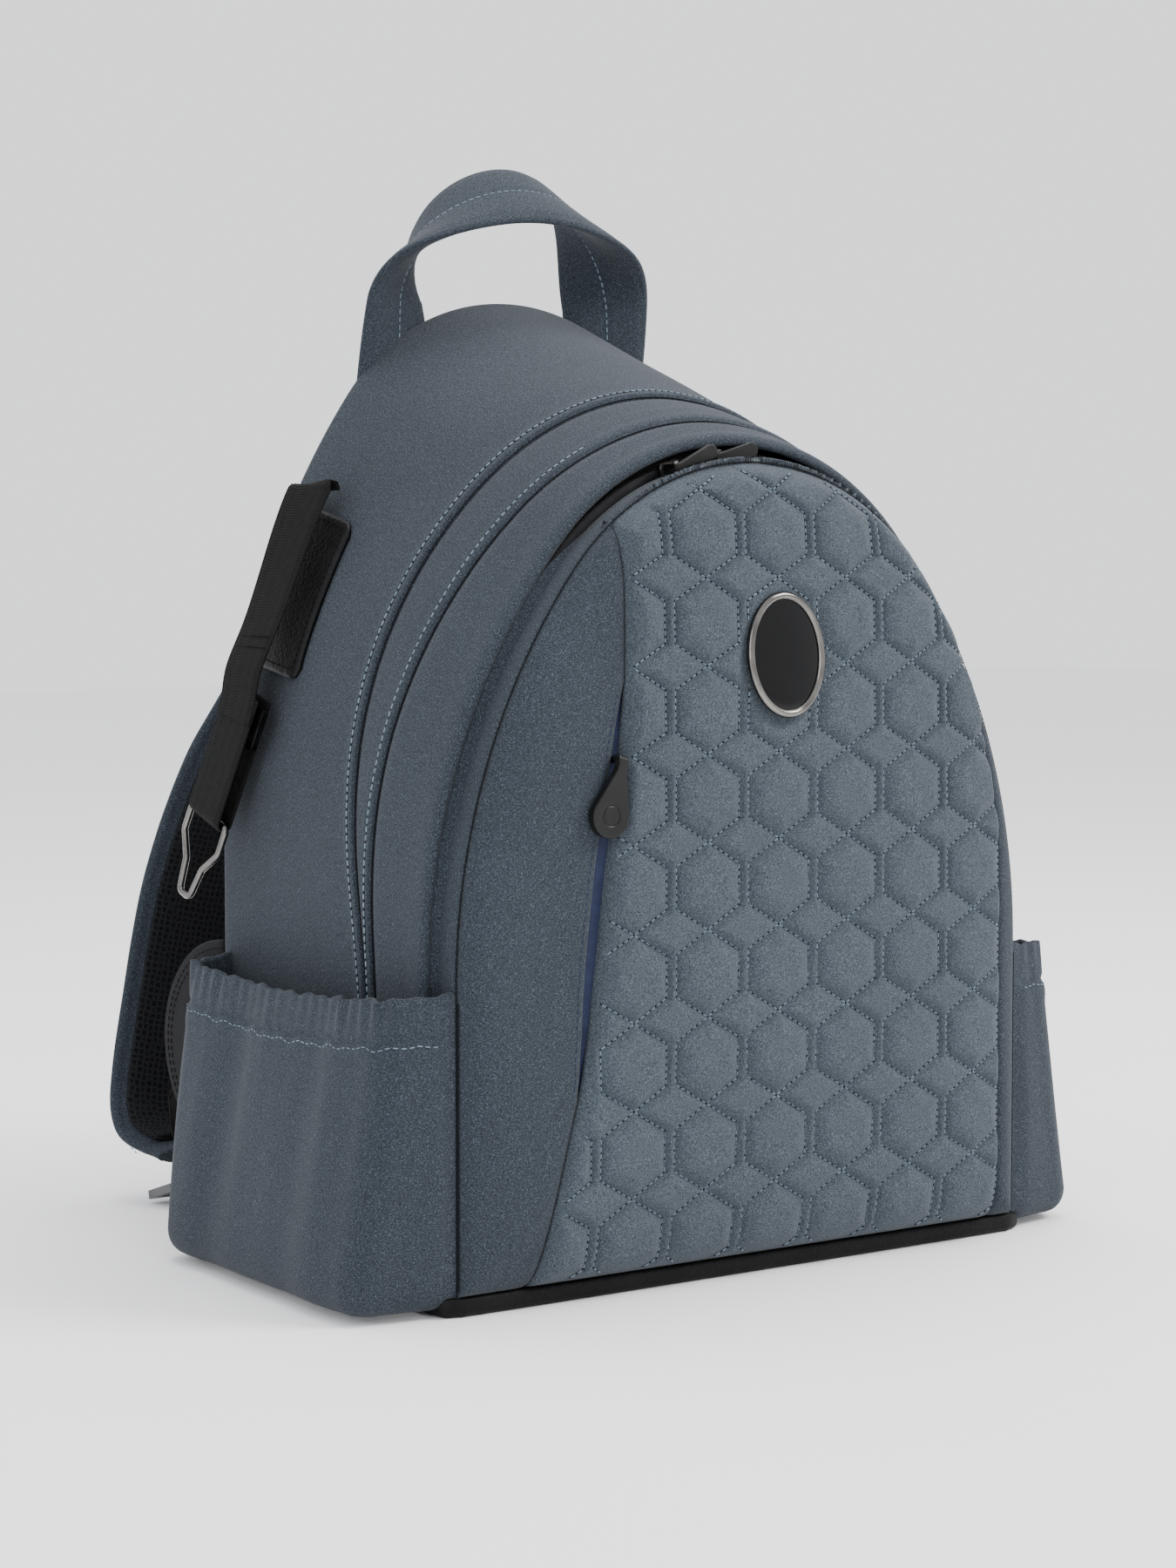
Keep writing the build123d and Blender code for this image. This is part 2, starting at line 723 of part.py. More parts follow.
# ---------------------------------------------------------------- badge
badge_plane = Plane(origin=(BADGE_AT[0], -102.4, BADGE_AT[1]), x_dir=(1, 0, 0), z_dir=(0, -1, 0.082))
with BuildPart() as badge_rim:
    with BuildSketch(badge_plane):
        Ellipse(BADGE_WIDE / 2, BADGE_TALL / 2)
        Ellipse(BADGE_WIDE / 2 - 3.4, BADGE_TALL / 2 - 3.4, mode=Mode.SUBTRACT)
    extrude(amount=4.4)
    fillet(badge_rim.faces().sort_by(Axis.Y)[0].edges(), 1.4)
save(badge_rim, "badge_rim")

with BuildPart() as badge_inlay:
    with BuildSketch(badge_plane):
        Ellipse(BADGE_WIDE / 2 - 3.5, BADGE_TALL / 2 - 3.5)
    extrude(amount=4.0)
    fillet(badge_inlay.faces().sort_by(Axis.Y)[0].edges(), 2.2)
save(badge_inlay, "badge_inlay")

# ---------------------------------------------------------------- carrying handle
HANDLE_STEPS = 8
HANDLE_FORWARD = 18.0  # how far the top leans towards the front
handle_foot = HANDLE_ROOT[2] + 2.0
tilt = radians(HANDLE_TILT)
handle_path = []
handle_across = []
for step in range(HANDLE_STEPS + 1):
    angle = pi * step / HANDLE_STEPS
    lean = HANDLE_FORWARD * sin(angle) ** 2
    rise = HANDLE_RISE * sin(angle)
    handle_path.append((-HANDLE_ROOT[0] * cos(angle), HANDLE_ROOT[1] - lean, handle_foot + rise))
    handle_across.append((-cos(angle), -sin(angle) * cos(tilt), -sin(angle) * sin(tilt)))

with BuildPart() as handle_band:
    half_thick = HANDLE_THICK / 2
    loft(strap_sections(handle_path, handle_across, HANDLE_WIDTH, -half_thick, half_thick), ruled=True)
save(handle_band, "handle_band")

# ---------------------------------------------------------------- shoulder straps
STRAP_PATH = [
    (-48.0, 115.5, 372.0),
    (-60.0, 131.0, 322.0),
    (-80.0, 160.0, 258.0),
    (-92.0, 191.0, 211.0),
    (-101.0, 214.0, 155.0),
    (-109.0, 223.0, 93.0),
    (-114.0, 224.0, 57.0),
    (-117.0, 217.0, 38.0),
    (-117.0, 203.0, 29.0),
    (-117.0, 185.0, 24.5),
]
STRAP_ACROSS = [(1.0, 0.0, 0.0), (1.0, 0.0, 0.0)]

with BuildPart() as strap_pad:
    pad_faces = strap_sections(STRAP_PATH, STRAP_ACROSS, PAD_WIDTH, -PAD_THICK / 2, PAD_THICK / 2)
    loft(pad_faces, ruled=True)
save_pair(strap_pad, "strap_pad")

with BuildPart() as strap_mesh:
    mesh_low = PAD_THICK / 2 + GAP
    mesh_high = mesh_low + MESH_THICK
    loft(strap_sections(STRAP_PATH, STRAP_ACROSS, PAD_WIDTH - 14.0, mesh_low, mesh_high), ruled=True)
save_pair(strap_mesh, "strap_mesh")

LOCK_THICK = 4.0
lock_plane = Plane(origin=(-117.0, 193.0, 7.5), x_dir=(1, 0, 0), z_dir=(0, 0.3, 0.95))
with BuildPart() as ladder_lock:
    with BuildSketch(lock_plane):
        RectangleRounded(38.0, 27.0, 3.0)
        with Locations((0, -6.2), (0, 6.2)):
            RectangleRounded(27.0, 6.4, 1.0, mode=Mode.SUBTRACT)
    extrude(amount=LOCK_THICK / 2, both=True)
save_pair(ladder_lock, "ladder_lock")

# The flat D of leather-look that the lower webbing is sewn to
WING_MIDDLE = (101.0, 88.0)
WING_REACH = 56.0
WING_HALF_HEIGHT = 50.0
with BuildPart() as strap_wing:
    with BuildSketch(Plane.YZ.offset(WING_X)):
        with Locations(WING_MIDDLE):
            Ellipse(WING_REACH, WING_HALF_HEIGHT)
        with Locations((WING_MIDDLE[0] - 50.0, WING_MIDDLE[1])):
            Rectangle(100.0, 2 * WING_HALF_HEIGHT + 4.0, mode=Mode.SUBTRACT)
    extrude(amount=2.6)
save_pair(strap_wing, "strap_wing")

WEB_END = (-146.0, 158.5, 66.0)  # where the lower webbing meets the wing
with BuildPart() as strap_webbing:
    webbing_path = [(-117.0, 176.0, 13.5), (-124.0, 171.0, 28.0), (-136.0, 165.0, 47.0), WEB_END]
    webbing_across = [(1.0, 0, 0), (0.9, 0.1, 0.4), (0.6, 0.2, 0.8), (0.3, 0.4, 0.9)]
    loft(strap_sections(webbing_path, webbing_across, 25.0, -WEBBING / 2, WEBBING / 2, 9), ruled=True)
save_pair(strap_webbing, "strap_webbing")

# ---------------------------------------------------------------- pram straps
PATCH_LENGTH = 35.0
PATCH_HEIGHT = 71.0
PATCH_MIDDLE = (62.5, 299.5)  # y and z
with BuildPart() as patch_block:
    with BuildSketch(Plane.YZ.offset(-170.0)):
        with Locations(PATCH_MIDDLE):
            RectangleRounded(PATCH_LENGTH, PATCH_HEIGHT, 6.0)
    extrude(amount=80.0)
with BuildPart() as clip_patch:
    add(envelope(GAP + 2.0))
    add(envelope(GAP), mode=Mode.SUBTRACT)
    add(patch_block, mode=Mode.INTERSECT)
save_pair(clip_patch, "clip_patch")

lean_way = Vector(*HOOK_LEAN).normalized()
lean_length = Vector(*HOOK_LEAN).length
bar_way = (Vector(0, 1, 0) - lean_way * lean_way.Y).normalized()
out_way = bar_way.cross(lean_way)
loop_plane = Plane(origin=TRI_GLIDE_AT, x_dir=lean_way, z_dir=bar_way)
LOOP_GAP = 4.4
LOOP_TOP = -8.0
with BuildPart() as clip_webbing:
    with BuildSketch(loop_plane.offset(-CLIP_WIDTH / 2)):
        loop_length = lean_length + LOOP_GAP / 2 - LOOP_TOP
        with Locations((LOOP_TOP + loop_length / 2, 0)):
            SlotOverall(loop_length + 2 * WEBBING, LOOP_GAP + 2 * WEBBING)
            SlotOverall(loop_length, LOOP_GAP, mode=Mode.SUBTRACT)
    extrude(amount=CLIP_WIDTH)
    drop_path = [
        (-123.5, CLIP_Y, 341.0),
        (-133.0, CLIP_Y, 322.0),
        (-148.0, CLIP_Y, 285.0),
        (-158.5, CLIP_Y, 262.0),
        (-162.2, CLIP_Y, 247.0),
    ]
    drop_across = [(0, 1.0, 0), (0, 1.0, 0)]
    loft(strap_sections(drop_path, drop_across, CLIP_WIDTH, -WEBBING / 2, WEBBING / 2, 12), ruled=True)
save_pair(clip_webbing, "clip_webbing")

with BuildPart() as tri_glide:
    glide_at = Vector(*TRI_GLIDE_AT) + lean_way * 4.0
    with BuildSketch(Plane(origin=glide_at, x_dir=lean_way, z_dir=out_way)):
        RectangleRounded(19.0, 37.0, 2.0)
        with Locations((-4.2, 0), (4.2, 0)):
            Rectangle(4.6, 31.0, mode=Mode.SUBTRACT)
    extrude(amount=1.2, both=True)
save_pair(tri_glide, "tri_glide")

hook_at = Vector(*TRI_GLIDE_AT) + lean_way * lean_length
HOOK_HALF = 17.2  # half the bar, outside the webbing
with BuildPart() as pram_hook:
    hook_plane = Plane(origin=hook_at, x_dir=bar_way, z_dir=out_way)
    with BuildLine(hook_plane) as hook_path:
        FilletPolyline(
            (HOOK_HALF, 0),
            (HOOK_HALF, 13.0),
            (8.0, 23.5),
            (5.0, 38.0),
            (-5.0, 38.0),
            (-8.0, 23.5),
            (-HOOK_HALF, 13.0),
            (-HOOK_HALF, 0),
            radius=3.6,
            close=True,
        )
    with BuildSketch(Plane(origin=hook_path.line @ 0, z_dir=hook_path.line % 0)):
        Circle(WIRE)
    sweep()
save_pair(pram_hook, "pram_hook")
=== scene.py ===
"""Changing backpack in blue-grey melange: sewn, quilted and padded surfaces built round the CAD frame."""

from math import atan2, cos, pi, radians, sin

import bmesh
import bpy
import numpy as np
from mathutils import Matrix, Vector


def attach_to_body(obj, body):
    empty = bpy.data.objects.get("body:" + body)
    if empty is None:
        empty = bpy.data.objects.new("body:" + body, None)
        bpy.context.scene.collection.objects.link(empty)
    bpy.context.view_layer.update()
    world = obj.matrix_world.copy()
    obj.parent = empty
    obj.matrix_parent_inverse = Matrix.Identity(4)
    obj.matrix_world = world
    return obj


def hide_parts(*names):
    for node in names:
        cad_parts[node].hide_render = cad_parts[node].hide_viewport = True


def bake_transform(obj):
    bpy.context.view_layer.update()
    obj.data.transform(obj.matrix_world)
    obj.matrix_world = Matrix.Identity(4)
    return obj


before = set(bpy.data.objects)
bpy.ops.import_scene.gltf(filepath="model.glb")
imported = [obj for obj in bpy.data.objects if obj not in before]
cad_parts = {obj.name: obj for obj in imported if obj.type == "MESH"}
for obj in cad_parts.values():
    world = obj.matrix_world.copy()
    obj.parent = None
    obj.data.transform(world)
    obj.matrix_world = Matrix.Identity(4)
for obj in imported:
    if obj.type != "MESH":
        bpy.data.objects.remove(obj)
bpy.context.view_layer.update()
MM = 0.001

# Sizes shared with the CAD, in millimetres
BACK_ARCH = (154.0, 178.0, 428.0, 108.0)
FLANGE_ARCH = (161.0, 140.0, 361.0, 124.0)
SEAM_ARCH = (153.0, 135.0, 350.0, 120.0)
BACK_Y = 95.0
FLANGE_Y = -76.0
SEAM_Y = -90.0
FLOOR = 8.0
SHELL_SWELL, SHELL_SLACK = 3.0, 0.55  # how far the flanks bulge, and their uneven drape
FLAP = ("bag", "front_flap", (0, -0.1, 0.114), (0, -0.1, 0.150))  # the bodies and heights given for a bend of the front; this script does not bend it
HANDLE = ("bag", "handle", (0, 0.1005, 0.402), (0, 0.1005, 0.440))


# ---------------------------------------------------------------- arrays and meshes
def smoothstep(t):
    t = np.clip(t, 0.0, 1.0)
    return t * t * (3 - 2 * t)


def resample(points, count):
    """A polyline at count even steps of its length."""
    points = np.asarray(points, float)
    run = np.concatenate([[0], np.cumsum(np.linalg.norm(np.diff(points, axis=0), axis=1))])
    places = np.linspace(0, run[-1], count)
    return np.stack([np.interp(places, run, points[:, k]) for k in range(points.shape[1])], axis=1)


def smooth_path(points, count):
    """A Catmull-Rom curve through the points, at even steps."""
    points = np.asarray(points, float)
    ends = np.vstack([2 * points[0] - points[1], points, 2 * points[-1] - points[-2]])
    t = np.linspace(0, 1, 24, endpoint=False)[:, None]
    pieces = []
    for a, b, c, d in zip(ends, ends[1:], ends[2:], ends[3:]):
        pieces.append(
            0.5 * (2 * b + (c - a) * t + (2 * a - 5 * b + 4 * c - d) * t**2 + (3 * b - a - 3 * c + d) * t**3)
        )
    return resample(np.vstack(pieces + [points[-1:]]), count)


def unit(vectors):
    return vectors / np.maximum(np.linalg.norm(vectors, axis=-1, keepdims=True), 1e-9)


def make_object(name, points, faces, material, uv=None, smooth=True):
    """A mesh object from points in millimetres, with a UV map in metres along the cloth."""
    mesh = bpy.data.meshes.new(name)
    mesh.from_pydata((np.asarray(points) * MM).tolist(), [], faces)
    if uv is not None:
        layer = mesh.uv_layers.new(name="cloth")
        corners = np.empty(len(mesh.loops), np.int32)
        mesh.loops.foreach_get("vertex_index", corners)
        layer.data.foreach_set("uv", uv[corners].astype(np.float32).ravel())
    mesh.polygons.foreach_set("use_smooth", [smooth] * len(mesh.polygons))
    mesh.materials.append(material)
    mesh.update()
    piece = bpy.data.objects.new(name, mesh)
    bpy.context.scene.collection.objects.link(piece)
    return piece


def lengths(points, axis):
    """Distance along one direction of a grid, in metres."""
    steps = np.linalg.norm(np.diff(points, axis=axis), axis=2)
    run = np.cumsum(steps, axis=axis)
    pad = [(1, 0), (0, 0)] if axis == 0 else [(0, 0), (1, 0)]
    return np.pad(run, pad) * MM


def quads(rows, columns, close_rows=False, close_columns=False, flip=False):
    """Faces of a grid of vertices numbered row by row."""
    i = np.arange(rows if close_rows else rows - 1)
    j = np.arange(columns if close_columns else columns - 1)
    i, j = np.meshgrid(i, j, indexing="ij")
    a = i * columns + j
    b = i * columns + (j + 1) % columns
    c = ((i + 1) % rows) * columns + (j + 1) % columns
    d = ((i + 1) % rows) * columns + j
    order = (a, b, c, d) if flip else (a, d, c, b)
    return np.stack([k.ravel() for k in order], axis=1).tolist()


def grid(name, points, material, close_rows=False, close_columns=False, flip=False):
    """A surface through a grid of points."""
    rows, columns = points.shape[:2]
    uv = np.stack([lengths(points, 1), lengths(points, 0)], axis=2).reshape(-1, 2)
    faces = quads(rows, columns, close_rows, close_columns, flip)
    return make_object(name, points.reshape(-1, 3), faces, material, uv)


def grid_normals(points, flip=False):
    normals = unit(np.cross(np.gradient(points, axis=0), np.gradient(points, axis=1)))
    return -normals if flip else normals


def cloth(name, points, material, thick, flip=False):
    """A closed sheet: the grid is its outer face, and the other face lies thick behind it."""
    rows, columns = points.shape[:2]
    inner = points - grid_normals(points, flip) * thick
    both = np.concatenate([points, inner[:, ::-1]], axis=1)
    flat = np.stack([lengths(points, 1), lengths(points, 0)], axis=2)
    uv = np.concatenate([flat, flat[:, ::-1]], axis=1).reshape(-1, 2)
    faces = quads(rows, 2 * columns, close_columns=True, flip=flip)
    last = (rows - 1) * 2 * columns
    for j in range(columns - 1):
        k = 2 * columns - 1 - j
        near = [j, j + 1, k - 1, k]
        far = [last + j, last + k, last + k - 1, last + j + 1]
        faces.append(near[::-1] if flip else near)
        faces.append(far[::-1] if flip else far)
    return make_object(name, both.reshape(-1, 3), faces, material, uv)


def band_profile(width, thick, power=8.0, count=16, grooves=()):
    """Cross-section of a strap: crowned faces, round edges, and lengthwise grooves on both faces."""
    a = -np.cos(np.linspace(0, pi, count + 1))
    b = (1 - np.abs(a) ** power) ** 0.5
    for place, depth in grooves:
        b = b - depth * np.exp(-(((a - place) / 0.035) ** 2))
    b[[0, -1]] = 0
    top = np.stack([a * width / 2, b * thick / 2], axis=1)
    return np.concatenate([top, (top * (1, -1))[-2:0:-1]])


def sweep_points(path, across, profile):
    along = unit(np.gradient(path, axis=0))
    side = unit(across - along * np.sum(across * along, axis=1, keepdims=True))
    out = np.cross(side, along)
    a = profile[..., 0]
    b = profile[..., 1]
    return path[:, None] + side[:, None] * a[..., None] + out[:, None] * b[..., None]


def sweep(name, path, across, profile, material, closed=False):
    """A strap or wire: a closed cross-section carried along a path."""
    points = sweep_points(path, across, profile)
    rows, columns = points.shape[:2]
    uv = np.stack([lengths(points, 1), lengths(points, 0)], axis=2).reshape(-1, 2)
    faces = quads(rows, columns, close_rows=closed, close_columns=True, flip=True)
    if not closed:
        last = (rows - 1) * columns
        faces.append(list(range(columns))[::-1])
        faces.append([last + k for k in range(columns)])
    return make_object(name, points.reshape(-1, 3), faces, material, uv)


def slab(name, rings, material):
    """A closed piece from a stack of rings with the same number of points, capped at both ends."""
    rings = np.asarray(rings, float)
    rows, columns = rings.shape[:2]
    uv = np.stack([lengths(rings, 1), lengths(rings, 0)], axis=2).reshape(-1, 2)
    faces = quads(rows, columns, close_columns=True)
    last = (rows - 1) * columns
    faces.append(list(range(columns)))
    faces.append([last + k for k in range(columns)][::-1])
    piece = make_object(name, rings.reshape(-1, 3), faces, material, uv)
    shape = bmesh.new()
    shape.from_mesh(piece.data)
    bmesh.ops.recalc_face_normals(shape, faces=shape.faces)
    shape.to_mesh(piece.data)
    shape.free()
    return piece


def thread(name, lines, pitch=3.4, length=2.4, width=0.62, rise=0.5, shift=0.0, material="thread"):
    """Stitches as small rounded dashes along lines of (points, normals), in one mesh."""
    centres = []
    tangents = []
    normals = []
    for points, ups in lines:
        run = np.concatenate([[0], np.cumsum(np.linalg.norm(np.diff(points, axis=0), axis=1))])
        count = max(int(run[-1] / pitch), 1)
        middles = (np.arange(count) + 0.5 + shift) * run[-1] / count
        at = lambda s, data: np.stack([np.interp(s, run, data[:, k]) for k in range(3)], axis=1)
        centres.append(at(middles, points))
        tangents.append(at(middles + 0.4, points) - at(middles - 0.4, points))
        normals.append(at(middles, ups))
    centres = np.concatenate(centres)[:, None]
    tangents = unit(np.concatenate(tangents))[:, None]
    normals = unit(np.concatenate(normals))[:, None]
    sides = np.cross(tangents, normals)
    stations = np.array([-0.5, -0.3, 0.3, 0.5]) * length
    scales = np.array([0.3, 1.0, 1.0, 0.3])
    corners = np.array([(1, 0), (0.5, 0.8), (-0.5, 0.8), (-1, 0), (0, -0.8)])
    t = np.repeat(stations, 5)[None, :, None]
    s = (scales[:, None] * corners[None, :, 0]).ravel()[None, :, None] * width / 2
    n = (scales[:, None] * corners[None, :, 1]).ravel()[None, :, None] * rise / 2
    points = centres + tangents * t + sides * s + normals * n
    one = np.array(quads(4, 5, close_columns=True))
    faces = (one[None] + (np.arange(len(points)) * 20)[:, None, None]).reshape(-1, 4).tolist()
    for k in range(len(points)):
        faces.append([20 * k + j for j in range(5)])
        faces.append([20 * k + 15 + j for j in range(5)][::-1])
    return make_object(name, points.reshape(-1, 3), faces, MATERIAL[material])


def mirrored(points):
    """The same points on the other side of the bag."""
    return points * np.array([-1.0, 1.0, 1.0])


def on_side(side, points):
    """Points drawn for the left of the bag, moved to the side asked for."""
    return points if side == "left" else mirrored(points)


def attach(piece, body, slot, *nodes):
    """A piece's body, or a pair of bodies, for which its transform is only baked and it is left unparented;
    its material slot, which is not used; the nodes it stands for.
    """
    if isinstance(body, tuple):
        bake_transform(piece)
    else:
        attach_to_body(piece, body)
    if nodes:
        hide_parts(*nodes)


# ---------------------------------------------------------------- materials
class Nodes:
    """Short-hand for building a material's node tree."""

    def __init__(self, name):
        self.material = bpy.data.materials.new(name)
        self.material.use_nodes = True
        self.tree = self.material.node_tree
        self.shader = self.tree.nodes["Principled BSDF"]
        self.coordinates = self.add("ShaderNodeTexCoord")

    def add(self, kind, **settings):
        node = self.tree.nodes.new(kind)
        for key, value in settings.items():
            setattr(node, key, value)
        return node

    def link(self, source, target):
        self.tree.links.new(source, target)

    def mapped(self, space, scale, turn=0.0):
        mapping = self.add("ShaderNodeMapping")
        mapping.inputs["Scale"].default_value = scale
        mapping.inputs["Rotation"].default_value = (0, 0, turn)
        self.link(self.coordinates.outputs[space], mapping.inputs["Vector"])
        return mapping.outputs["Vector"]

    def noise(self, space, scale, detail=2.0, rough=0.5, stretch=(1, 1, 1)):
        node = self.add("ShaderNodeTexNoise")
        node.inputs["Scale"].default_value = scale
        node.inputs["Detail"].default_value = detail
        node.inputs["Roughness"].default_value = rough
        self.link(self.mapped(space, stretch), node.inputs["Vector"])
        return node.outputs["Fac"]

    def wave(self, vector, scale, direction="X", distortion=0.0):
        node = self.add("ShaderNodeTexWave", bands_direction=direction)
        node.inputs["Scale"].default_value = scale
        node.inputs["Distortion"].default_value = distortion
        self.link(vector, node.inputs["Vector"])
        return node.outputs["Fac"]

    def ramp(self, value, stops):
        node = self.add("ShaderNodeValToRGB")
        elements = node.color_ramp.elements
        elements[0].position, elements[0].color = stops[0][0], (*stops[0][1], 1)
        elements[1].position, elements[1].color = stops[-1][0], (*stops[-1][1], 1)
        for place, colour in stops[1:-1]:
            elements.new(place).color = (*colour, 1)
        self.link(value, node.inputs["Fac"])
        return node.outputs["Color"]

    def maths(self, operation, first, second):
        node = self.add("ShaderNodeMath", operation=operation)
        for socket, value in zip(node.inputs, (first, second)):
            if isinstance(value, (int, float)):
                socket.default_value = value
            else:
                self.link(value, socket)
        return node.outputs[0]

    def tint(self, colour, factor, amount):
        """The colour made lighter and darker by a factor that varies about 0.5."""
        node = self.add("ShaderNodeMix", data_type="RGBA", blend_type="OVERLAY")
        node.inputs["Factor"].default_value = amount
        self.link(colour, node.inputs["A"])
        self.link(factor, node.inputs["B"])
        return node.outputs["Result"]

    def bump(self, height, distance, strength=1.0, below=None):
        node = self.add("ShaderNodeBump")
        node.inputs["Strength"].default_value = strength
        node.inputs["Distance"].default_value = distance
        self.link(height, node.inputs["Height"])
        if below is not None:
            self.link(below, node.inputs["Normal"])
        return node.outputs["Normal"]

    def finish(self, colour, normal, **sockets):
        self.link(colour, self.shader.inputs["Base Color"])
        if normal is not None:
            self.link(normal, self.shader.inputs["Normal"])
        for key, value in sockets.items():
            name = key.replace("_", " ")
            if isinstance(value, (int, float, tuple)):
                self.shader.inputs[name].default_value = value
            else:
                self.link(value, self.shader.inputs[name])
        return self.material


def melange(name, dark, middle, light, weave=1400.0):
    """Foam-backed twill: light and dark fibres speckled together, fine diagonal ribs, soft sheen."""
    m = Nodes(name)
    speckle = m.noise("Object", 1900.0, 2.0, 0.7)
    fibres = m.noise("UV", 900.0, 2.0, 0.7, (1, 2.4, 1))
    mixed = m.maths("ADD", m.maths("MULTIPLY", speckle, 0.62), m.maths("MULTIPLY", fibres, 0.38))
    colour = m.ramp(mixed, [(0.38, dark), (0.49, middle), (0.53, middle), (0.65, light)])
    colour = m.tint(colour, m.noise("Object", 14.0, 2.0), 0.12)
    twill = m.wave(m.mapped("UV", (1, 1, 1), radians(38)), weave / 6.28, "X", 0.6)
    height = m.maths("ADD", m.maths("MULTIPLY", twill, 0.5), m.maths("MULTIPLY", mixed, 0.9))
    normal = m.bump(height, 0.00022, 0.55)
    normal = m.bump(m.noise("Object", 55.0, 2.0), 0.0006, 0.25, normal)
    return m.finish(
        colour, normal, Roughness=0.9, Sheen_Weight=0.06, Sheen_Roughness=0.5, Specular_IOR_Level=0.15
    )


def ribbed(name, dark, light):
    """Black webbing: cross ribs between lengthwise bands."""
    m = Nodes(name)
    ribs = m.wave(m.mapped("UV", (1, 1, 1)), 1500 / 6.28, "Y", 0.4)
    bands = m.wave(m.mapped("UV", (1, 1, 1)), 2300 / 6.28, "X", 0.0)
    height = m.maths("ADD", m.maths("MULTIPLY", ribs, 0.7), m.maths("MULTIPLY", bands, 0.4))
    fibres = m.noise("UV", 700.0, 3.0, 0.6, (1, 0.3, 1))
    colour = m.ramp(m.maths("MULTIPLY", height, fibres), [(0.1, dark), (0.55, light)])
    return m.finish(colour, m.bump(height, 0.00035, 0.8), Roughness=0.75, Specular_IOR_Level=0.12)


def pebbled(name, dark, light, size=620.0, rough=0.42):
    """Leather-look: rounded pebbles with fine creases between them."""
    m = Nodes(name)
    cells = m.add("ShaderNodeTexVoronoi", feature="SMOOTH_F1")
    cells.inputs["Scale"].default_value = size
    cells.inputs["Smoothness"].default_value = 0.5
    m.link(m.mapped("Object", (1, 1, 1)), cells.inputs["Vector"])
    pebbles = cells.outputs["Distance"]
    patches = m.noise("Object", 40.0, 3.0)
    colour = m.ramp(m.maths("ADD", m.maths("MULTIPLY", pebbles, 0.4), m.maths("MULTIPLY", patches, 0.6)),
                    [(0.3, dark), (0.7, light)])
    gloss = m.maths("ADD", m.maths("MULTIPLY", patches, 0.16), rough - 0.08)
    return m.finish(colour, m.bump(pebbles, -0.00025, 0.7), Roughness=gloss, Specular_IOR_Level=0.13)


def spacer(name):
    """Air mesh: a net of small oval holes over a dark pile."""
    m = Nodes(name)
    cells = m.add("ShaderNodeTexVoronoi", feature="DISTANCE_TO_EDGE")
    cells.inputs["Scale"].default_value = 330.0
    cells.inputs["Randomness"].default_value = 0.35
    m.link(m.mapped("UV", (1, 1, 1)), cells.inputs["Vector"])
    net = cells.outputs["Distance"]
    colour = m.ramp(net, [(0.05, (0.013, 0.0135, 0.015)), (0.3, (0.002, 0.002, 0.0025))])
    return m.finish(colour, m.bump(net, -0.0008, 0.9), Roughness=0.85, Specular_IOR_Level=0.15)


def woven(name, dark, light, scale, rough, sheen=0.05):
    """A plain tight weave: lining, binding, tape or elastic."""
    m = Nodes(name)
    warp = m.wave(m.mapped("UV", (1, 1, 1)), scale / 6.28, "X", 0.3)
    weft = m.wave(m.mapped("UV", (1, 1, 1)), scale / 6.28, "Y", 0.3)
    height = m.maths("MULTIPLY", warp, weft)
    slubs = m.noise("Object", 160.0, 3.0, 0.6)
    colour = m.ramp(m.maths("ADD", m.maths("MULTIPLY", height, 0.3), m.maths("MULTIPLY", slubs, 0.7)),
                    [(0.25, dark), (0.7, light)])
    return m.finish(
        colour, m.bump(height, 0.0002, 0.6), Roughness=rough, Sheen_Weight=sheen, Specular_IOR_Level=0.2
    )


def plated(name, colour_a, colour_b, rough):
    """Gunmetal plating with a faint cloudiness and fine brushing."""
    m = Nodes(name)
    clouds = m.noise("Object", 90.0, 3.0)
    fine = m.noise("Object", 1500.0, 2.0, 0.5, (1, 1, 0.1))
    colour = m.ramp(clouds, [(0.3, colour_a), (0.7, colour_b)])
    gloss = m.maths("ADD", m.maths("MULTIPLY", clouds, 0.12), rough - 0.06)
    return m.finish(colour, m.bump(fine, 0.00002, 0.4), Roughness=gloss, Metallic=1.0)


def moulded(name, dark, light, rough, relief=0.3, shine=0.3):
    """Moulded rubber, plastic or enamel with a fine texture."""
    m = Nodes(name)
    fine = m.noise("Object", 1300.0, 2.0)
    clouds = m.noise("Object", 60.0, 2.0)
    colour = m.ramp(clouds, [(0.3, dark), (0.7, light)])
    gloss = m.maths("ADD", m.maths("MULTIPLY", clouds, 0.08), rough - 0.04)
    return m.finish(colour, m.bump(fine, 0.00004, relief), Roughness=gloss, Specular_IOR_Level=shine)


